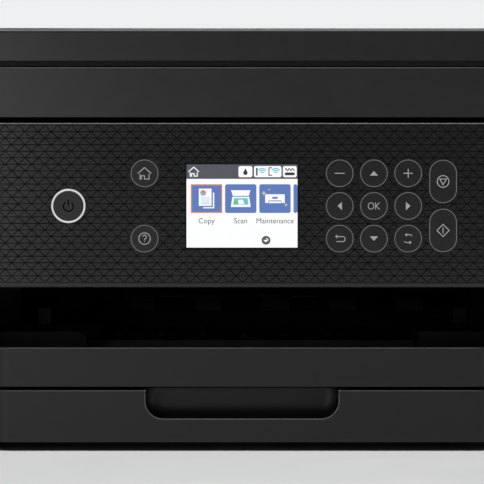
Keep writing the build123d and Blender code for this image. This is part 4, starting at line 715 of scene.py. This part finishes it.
PICTURE_W, PICTURE_H = 49.0 * MM, 36.7 * MM
SCREEN_RIM = 0.8 * MM
panel_low, panel_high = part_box("panel_shell")
holes = [circle(power.x, power.z, POWER_R - 0.1 * MM, 64)]
for name in ROUND_KEYS + OVAL_KEYS:
    low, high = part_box(name + "_button")
    holes.append(oval_outline((low.x + high.x) / 2, (low.z + high.z) / 2,
                              high.x - low.x + KEY_GAP, high.z - low.z + KEY_GAP))
holes.append(rounded(0, power.z, PICTURE_W + 2 * SCREEN_RIM, PICTURE_H + 2 * SCREEN_RIM, 0.6 * MM))
relief = relief_mesh(panel_low.x + RELIEF_SIDE, panel_high.x - RELIEF_SIDE,
                     panel_low.z + RELIEF_FOOT, panel_high.z - RELIEF_HEAD)
relief.materials.append(finishes["panel"])
relief.materials.append(finishes["panel_groove_painted_shade"])
add("panel_relief", cut_through(relief, holes), "panel")


# ---------------------------------------------------------------- the screen's picture

SCREEN_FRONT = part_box("screen")[0].y
LAYER = 0.015 * MM              # thickness of one layer of the picture
left, top = -PICTURE_W / 2, power.z + PICTURE_H / 2
bottom = top - PICTURE_H
BAR_H = 6.4 * MM
TILE_W, TILE_H, TILE_PITCH = 13.85 * MM, 12.7 * MM, 15.1 * MM
TILE_Z = top - 15.1 * MM
white = lit("screen_white", rgb(1.0, 1.0, 1.0), rgb(0.98, 0.99, 1.0), 1.0, bottom, top)
bar_grey = lit("screen_grey", rgb(0.09, 0.09, 0.115), rgb(0.075, 0.075, 0.1), 0.95, bottom, top)
tile_blue = lit("screen_blue", rgb(0.115, 0.2, 0.54), rgb(0.1, 0.215, 0.56), 0.95, bottom, top)
orange = lit("screen_orange", rgb(0.78, 0.24, 0.03), rgb(0.84, 0.27, 0.035), 0.95, bottom, top)
dark = lit("screen_dark", rgb(0.03, 0.03, 0.035), rgb(0.03, 0.03, 0.035), 0.95, bottom, top)
grey_type = lit("screen_type", rgb(0.085, 0.085, 0.09), rgb(0.085, 0.085, 0.09), 0.95, bottom, top)
cyan = lit("screen_cyan", rgb(0.12, 0.62, 0.8), rgb(0.1, 0.55, 0.78), 0.95, bottom, top)
yellow = lit("screen_yellow", rgb(0.75, 0.78, 0.16), rgb(0.75, 0.75, 0.15), 0.95, bottom, top)
green = lit("screen_green", rgb(0.2, 0.55, 0.12), rgb(0.2, 0.55, 0.12), 0.95, bottom, top)


def show(name, outlines, layer, material):
    """One layer of the picture, just in front of the one before."""
    mesh = flat_mesh("picture_" + name, outlines, SCREEN_FRONT - layer * LAYER, LAYER)
    add("picture_" + name, mesh, "panel", material)


def plate(x0, x1, z0, z1, radius=0.0):
    if radius:
        return rounded((x0 + x1) / 2, (z0 + z1) / 2, x1 - x0, z1 - z0, radius, 5)
    return [(x0, z0), (x1, z0), (x1, z1), (x0, z1)]


def drop(x, z, height):
    """An ink drop."""
    r = height * 0.32
    return [(x, z + height / 2), *circle(x, z - height / 2 + r, r, 16, start=math.radians(28),
                                         turn=-math.radians(236))]


def fan(x, z, size):
    """The bowed bands of a radio signal above their point."""
    half_angle = 42
    bands = []
    for k in (0.38, 0.7, 1.0):
        arc = circle(x, z, size * k, 10, start=math.radians(90 - half_angle),
                     turn=math.radians(2 * half_angle))
        bands.append(stroke(arc, size * 0.19))
    return bands


def star(x, z, size):
    """A four-pointed sparkle."""
    points = []
    for i in range(8):
        r = size if i % 2 == 0 else size * 0.3
        points.append((x + r * math.cos(i * math.pi / 4), z + r * math.sin(i * math.pi / 4)))
    return points


show("ground", [plate(left, -left, bottom, top)], 1, white)
show("bar", [plate(left, -left, top - BAR_H, top)], 2, bar_grey)
bar_z = top - BAR_H * 0.5
show("home", house(left + 3.2 * MM, bar_z, 4.7 * MM, 0.42 * MM), 3, white)
chips = ((-1.55, 6.1), (5.3, 12.1), (18.05, 6.1))      # left edge and width of each, in millimetres
show("chips", [plate(x * MM, (x + w) * MM, bar_z - 2.45 * MM, bar_z + 2.45 * MM, 0.8 * MM)
               for x, w in chips], 3, white)
show("drop", [drop(1.5 * MM, bar_z, 3.0 * MM)], 4, dark)
show("signal", [band for x in (8.9, 14.9) for band in fan(x * MM, bar_z - 1.3 * MM, 2.7 * MM)], 4, cyan)
show("sheet_marks", [plate(6.2 * MM, 6.9 * MM, bar_z - 1.7 * MM, bar_z + 1.7 * MM),
                     stroke([(13.3 * MM, bar_z - 1.6 * MM), (11.9 * MM, bar_z - 1.6 * MM),
                             (11.9 * MM, bar_z + 1.7 * MM), (13.3 * MM, bar_z + 1.7 * MM)], 0.42 * MM)],
     4, dark)
wave = [(19.0 * MM + i * 0.35 * MM, bar_z + 0.9 * MM + 0.55 * MM * math.sin(i * 1.5)) for i in range(13)]
show("quiet", [stroke(wave, 0.4 * MM),
               plate(18.9 * MM, 23.3 * MM, bar_z - 1.6 * MM, bar_z - 0.35 * MM, 0.5 * MM)], 4, dark)

tile_x = [left + 8.85 * MM + i * TILE_PITCH for i in range(4)]
tiles = []
for i, x in enumerate(tile_x):
    right = min(x + TILE_W / 2, -left)
    # the chosen tile is square under its frame, and the last is a strip too narrow for the full radius
    radius = min(0.15 * MM if i == 0 else 0.9 * MM, (right - x + TILE_W / 2) / 2.1)
    tiles.append(plate(x - TILE_W / 2, right, TILE_Z - TILE_H / 2, TILE_Z + TILE_H / 2, radius))
show("tiles", tiles, 2, tile_blue)
frame_outline = plate(tile_x[0] - TILE_W / 2, tile_x[0] + TILE_W / 2,
                      TILE_Z - TILE_H / 2, TILE_Z + TILE_H / 2)
show("chosen", [frame_outline, inset(frame_outline, 0.48 * MM)], 3, orange)


def at(x, *corners):
    """Points of a tile's drawing, in millimetres from the tile's middle."""
    return [(x + px * MM, TILE_Z + pz * MM) for px, pz in corners]


copy_x, scan_x, care_x = tile_x[:3]
show("sheets", [at(copy_x, (-3.4, -3.2), (2.2, -3.2), (2.2, 4.4), (-3.4, 4.4)),
                at(copy_x, (-1.5, -4.3), (3.4, -4.3), (3.4, 2.6), (2.8, 2.6), (2.8, -3.8), (-1.5, -3.8))],
     3, white)
show("sheet_lines", [at(copy_x, (-2.5, z), (1.5, z), (1.5, z + 0.38), (-2.5, z + 0.38))
                     for z in (0.1, -0.8, -1.7, -2.5)],
     4, lit("screen_pale", rgb(0.45, 0.7, 0.78), rgb(0.45, 0.7, 0.78), 0.95, bottom, top))
pie_x, pie_z, pie_r = copy_x - 1.5 * MM, TILE_Z + 2.5 * MM, 1.3 * MM
show("pie", [circle(pie_x, pie_z, pie_r, 24)], 4, orange)
show("pie_part", [[(pie_x, pie_z), *circle(pie_x, pie_z, pie_r, 14, start=math.pi, turn=math.pi * 0.9)]],
     5, cyan)
show("scanner", [at(scan_x, (-4.3, 3.7), (-3.5, 1.2), (3.5, 1.2), (4.3, 3.7)),
                 at(scan_x, (-4.4, -3.7), (4.4, -3.7), (3.7, 0.8), (-3.7, 0.8))], 3, white)
show("scanned", [at(scan_x, (-3.4, -2.7), (3.4, -2.7), (3.0, 0.2), (-3.0, 0.2))], 4, cyan)
show("scanned_hill", [at(scan_x, (-3.3, -2.6), (-0.9, -2.6), (-1.4, -1.2), (-2.4, -0.9))], 5, green)
show("scanned_card", [at(scan_x, (-1.1, -2.5), (1.6, -2.5), (1.0, -0.5), (-1.1, -0.5))], 5, white)
show("machine", [at(care_x, (-4.3, 1.9), (4.3, 1.9), (4.3, -1.9), (3.1, -1.9), (2.7, -0.8), (-2.7, -0.8),
                    (-3.1, -1.9), (-4.3, -1.9)),
                 at(care_x, (-2.9, -2.0), (2.9, -2.0), (2.5, -1.2), (-2.5, -1.2))], 3, white)
show("machine_screen", [at(care_x, (-1.2, -0.1), (1.2, -0.1), (1.2, 0.8), (-1.2, 0.8))], 4, tile_blue)
show("sparkles", [star(care_x - 4.9 * MM, TILE_Z + 2.4 * MM, 1.2 * MM),
                  star(care_x - 2.6 * MM, TILE_Z + 4.0 * MM, 0.6 * MM),
                  star(care_x + 4.8 * MM, TILE_Z - 2.7 * MM, 0.9 * MM)], 3, yellow)
NAME_Z = top - 26.0 * MM        # the foot of the words under the tiles


def written(name, text, x, height, material):
    """A plain word under its tile."""
    curve = bpy.data.curves.new("picture_" + name, "FONT")
    curve.body = text
    curve.size = height
    curve.align_x = "CENTER"
    curve.extrude = LAYER / 2
    maker = bpy.data.objects.new(name, curve)
    scene.collection.objects.link(maker)
    mesh = evaluated_mesh(maker)
    bpy.data.objects.remove(maker)
    bpy.data.curves.remove(curve)
    place = Matrix.Translation((x, SCREEN_FRONT - 1.5 * LAYER, NAME_Z))
    mesh.transform(place @ Matrix.Rotation(math.pi / 2, 4, "X"))
    add("picture_" + name, mesh, "panel", material)


for name, text, x in (("word_copy", "Copy", copy_x), ("word_scan", "Scan", scan_x),
                      ("word_care", "Maintenance", care_x)):
    written(name, text, x, 3.3 * MM, grey_type)
next_x, next_z = 10.6 * MM, bottom + 3.2 * MM
arrow = [stroke([(next_x - 1.0 * MM, next_z), (next_x + 1.0 * MM, next_z)], 0.35 * MM),
         stroke([(next_x + 0.1 * MM, next_z + 1.0 * MM), (next_x + 1.1 * MM, next_z),
                 (next_x + 0.1 * MM, next_z - 1.0 * MM)], 0.35 * MM)]
show("next", [circle(next_x, next_z, 1.95 * MM, 32)], 2, grey_type)
show("next_arrow", arrow, 3, white)


# ---------------------------------------------------------------- painted highlight on the rim of the cassette's finger recess

def recess_rim():
    """A thin light strip, a painted highlight along the rim, that follows the recess: down one side, along
    its floor and up the other.
    """
    low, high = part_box("paper_cassette")
    width, floor_z, corner = 86 * MM, 14 * MM, 8 * MM
    line = 0.3 * MM
    half = width / 2 - line / 2
    base = floor_z + line / 2
    left_bend = circle(-half + corner, base + corner, corner, 12, start=math.pi, turn=math.pi / 2)
    right_bend = circle(half - corner, base + corner, corner, 12, start=1.5 * math.pi, turn=math.pi / 2)
    top_z = high.z - 1.0 * MM
    path = [(-half, top_z), *left_bend, *right_bend, (half, top_z)]
    return flat_mesh("recess_rim", [stroke(path, line)], low.y + 0.01 * MM, 0.5 * MM, 0.06 * MM)


# a light grey strip as a painted highlight, where the rim's edge would catch the light
rim_highlight_paint = moulded("painted_highlight_rim", rgb(0.11, 0.11, 0.112), 0.3, dust=0.0)
add("recess_rim", recess_rim(), "cassette", rim_highlight_paint)


# ---------------------------------------------------------------- inside

def lying(name, outline, top, thickness):
    """A plate that faces up: its outline is in x and y."""
    mesh = flat_mesh(name, [outline], -top, thickness)
    mesh.transform(Matrix.Rotation(-math.pi / 2, 4, "X"))
    return mesh


LABEL = 0.12 * MM               # thickness of a paper label
LABEL_W, LABEL_L, LABEL_CORNER = 14 * MM, 52 * MM, 1.5 * MM
CARTRIDGE_PITCH = 20 * MM
cartridge_low, cartridge_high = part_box("ink_cartridges")
label_y = cartridge_low.y + 44 * MM
label_top = cartridge_high.z - 4 * MM + LABEL
label_colours = {"black": rgb(0.02, 0.02, 0.022), "cyan": rgb(0.02, 0.3, 0.55),
                 "magenta": rgb(0.5, 0.02, 0.2), "yellow": rgb(0.75, 0.55, 0.02)}
for i, (name, colour) in enumerate(label_colours.items()):
    x = (cartridge_low.x + cartridge_high.x) / 2 + (i - 1.5) * CARTRIDGE_PITCH
    outline = rounded(x, label_y, LABEL_W, LABEL_L, LABEL_CORNER)
    add(f"{name}_label", lying(f"{name}_label", outline, label_top, LABEL), "carriage",
        printed_ink(f"{name}_label_ink", colour, 0.4))

glass_low, glass_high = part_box("scanner_glass")
bezel_top = glass_high.z + 0.8 * MM
mark_x, mark_y = glass_low.x - 1.0 * MM, glass_high.y + 1.0 * MM
corner = [(mark_x, mark_y), (mark_x - 7 * MM, mark_y + 2.5 * MM), (mark_x - 2.5 * MM, mark_y + 7 * MM)]
add("corner_mark", lying("corner_mark", corner, bezel_top + 0.05 * MM, 0.05 * MM), "scanner",
    printed_ink("corner_mark_ink", rgb(0.7, 0.7, 0.7)))


# ---------------------------------------------------------------- under the cover

def foam_pad():
    """The document mat: a foam sheet with soft edges, a little uneven, held under the cover."""
    low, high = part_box("document_mat")
    edge, corner = 1.4 * MM, 7 * MM
    across, along = 26, 20              # squares of the underside
    tallest_swell = 0.12 * MM
    outline = rounded((low.x + high.x) / 2, (low.y + high.y) / 2, high.x - low.x, high.y - low.y, corner, 8)
    bm = bmesh.new()
    steps = 5
    rings_made = []
    for k in range(steps + 1):
        turn = k / steps * math.pi / 2
        shrink = edge * (1 - math.sin(turn))
        z = low.z + edge * (1 - math.cos(turn))
        points = inset(outline, shrink) if shrink > SAME else outline
        rings_made.append([bm.verts.new((x, y, z)) for x, y in points])
    rings_made.append([bm.verts.new((x, y, high.z)) for x, y in outline])
    for lower, upper in zip(rings_made, rings_made[1:]):
        for i in range(len(lower)):
            bm.faces.new((lower[i - 1], lower[i], upper[i], upper[i - 1]))
    bm.faces.new(rings_made[-1])
    inner = inset(outline, edge)
    bm.faces.new(rings_made[0][::-1])
    bmesh.ops.triangulate(bm, faces=[f for f in bm.faces if len(f.verts) > 4])
    for axis, cuts in ((0, across), (1, along)):
        first, last = min(p[axis] for p in inner), max(p[axis] for p in inner)
        direction = (1, 0, 0) if axis == 0 else (0, 1, 0)
        for i in range(1, cuts):
            place = first + (last - first) * i / cuts
            faces = [f for f in bm.faces if all(abs(v.co.z - low.z) < SAME for v in f.verts)]
            edges = dict.fromkeys(e for f in faces for e in f.edges)
            verts = dict.fromkeys(v for f in faces for v in f.verts)
            bmesh.ops.bisect_plane(bm, geom=[*faces, *edges, *verts], plane_no=direction,
                                   plane_co=[place * way for way in direction])
    draw = random.Random(11)
    waves = [(draw.uniform(14, 50), draw.uniform(14, 50), draw.uniform(0, 6.3)) for _ in range(6)]
    for vert in bm.verts:
        if abs(vert.co.z - low.z) < SAME:
            swell = sum(math.sin(vert.co.x * a + vert.co.y * b + c) for a, b, c in waves) / len(waves)
            vert.co.z += tallest_swell * (1 + swell)
    bmesh.ops.recalc_face_normals(bm, faces=bm.faces)
    for face in bm.faces:
        face.smooth = True
    mesh = bpy.data.meshes.new("foam_pad")
    bm.to_mesh(mesh)
    bm.free()
    return mesh


pad = add("foam_pad", foam_pad(), "cover", finishes["mat_foam"])
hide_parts("document_mat")


# ---------------------------------------------------------------- floor, light and camera

FLOOR_HALF = 15.0               # half the side of the floor, in metres


def studio_floor():
    """The plain pale floor that the printer stands on."""
    f = Finish("studio_floor")
    base = f.mix(f.patches(3, 4), rgb(0.74, 0.74, 0.74), rgb(0.79, 0.79, 0.79))
    material = f.done(base, f.patches(40, 3, 0.6, 0.75), None)
    bm = bmesh.new()
    bmesh.ops.create_grid(bm, x_segments=2, y_segments=2, size=FLOOR_HALF)
    mesh = bpy.data.meshes.new("studio_floor")
    bm.to_mesh(mesh)
    bm.free()
    floor = bpy.data.objects.new("studio_floor", mesh)
    mesh.materials.append(material)
    scene.collection.objects.link(floor)
    return floor


def softbox(name, place, aim, size, watts):
    """A white lamp of a width and height that shines at a point, and that the camera doesn't see."""
    light = bpy.data.lights.new(name, "AREA")
    light.shape = "RECTANGLE"
    light.size, light.size_y = size
    light.energy = watts
    holder = bpy.data.objects.new(name, light)
    scene.collection.objects.link(holder)
    holder.location = place
    holder.visible_camera = False
    holder.rotation_euler = (Vector(aim) - Vector(place)).to_track_quat("-Z", "Y").to_euler()
    return holder


# the two low lights stand near the floor, and would leave a bright patch on it
floor = studio_floor()
off_floor = bpy.data.collections.new("lit_by_low_lights")
off_floor.objects.link(floor)
off_floor.collection_objects[0].light_linking.link_state = "EXCLUDE"

world = bpy.data.worlds.new("studio")
scene.world = world
world.use_nodes = True
# a pale wall to the eye, which lights the printer only faintly
tree = world.node_tree
faint, pale = tree.nodes["Background"], tree.nodes.new("ShaderNodeBackground")
faint.inputs["Color"].default_value = rgb(0.86, 0.88, 0.9)
faint.inputs["Strength"].default_value = 0.12
pale.inputs["Color"].default_value = rgb(0.86, 0.87, 0.88)
seen = tree.nodes.new("ShaderNodeMixShader")
path = tree.nodes.new("ShaderNodeLightPath")
tree.links.new(seen.inputs[0], path.outputs["Is Camera Ray"])
tree.links.new(seen.inputs[1], faint.outputs[0])
tree.links.new(seen.inputs[2], pale.outputs[0])
tree.links.new(tree.nodes["World Output"].inputs["Surface"], seen.outputs[0])
softbox("key_light", (-1.15, -1.0, 1.45), aim=(0, 0, 0.1), size=(0.8, 0.8), watts=6)
softbox("top_light", (0.0, -0.72, 1.75), aim=(0, -0.12, 0.1), size=(1.5, 0.5), watts=27)
softbox("back_light", (0.3, 1.1, 1.7), aim=(0, 0, 0.1), size=(1.2, 0.8), watts=22)
low_left = softbox("left_light", (-0.46, -1.1, 0.2), aim=(-0.02, -0.17, 0.11), size=(0.16, 0.16), watts=1.25)
low_right = softbox("right_light", (0.9, -0.72, 0.14), aim=(0.1, -0.17, 0.08), size=(0.12, 0.2), watts=0.6)
for low in (low_left, low_right):
    low.light_linking.receiver_collection = off_floor
scene.view_settings.view_transform = "Standard"

FRONT_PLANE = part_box("output_tray")[0].y
IMAGE_SIDE = 484
VIEW_WIDTH = IMAGE_SIDE * 0.441 * MM    # what the frame spans at the printer's front, at 0.441 mm a pixel
CAMERA_DISTANCE = 0.75
CAMERA_HEIGHT = 92.3 * MM
SENSOR = 36.0
eye = bpy.data.cameras.new("camera")
eye.sensor_width = SENSOR
eye.lens = SENSOR * CAMERA_DISTANCE / VIEW_WIDTH
camera = bpy.data.objects.new("camera", eye)
scene.collection.objects.link(camera)
camera.location = (0, FRONT_PLANE - CAMERA_DISTANCE, CAMERA_HEIGHT)
camera.rotation_euler = (math.pi / 2, 0, 0)
scene.camera = camera
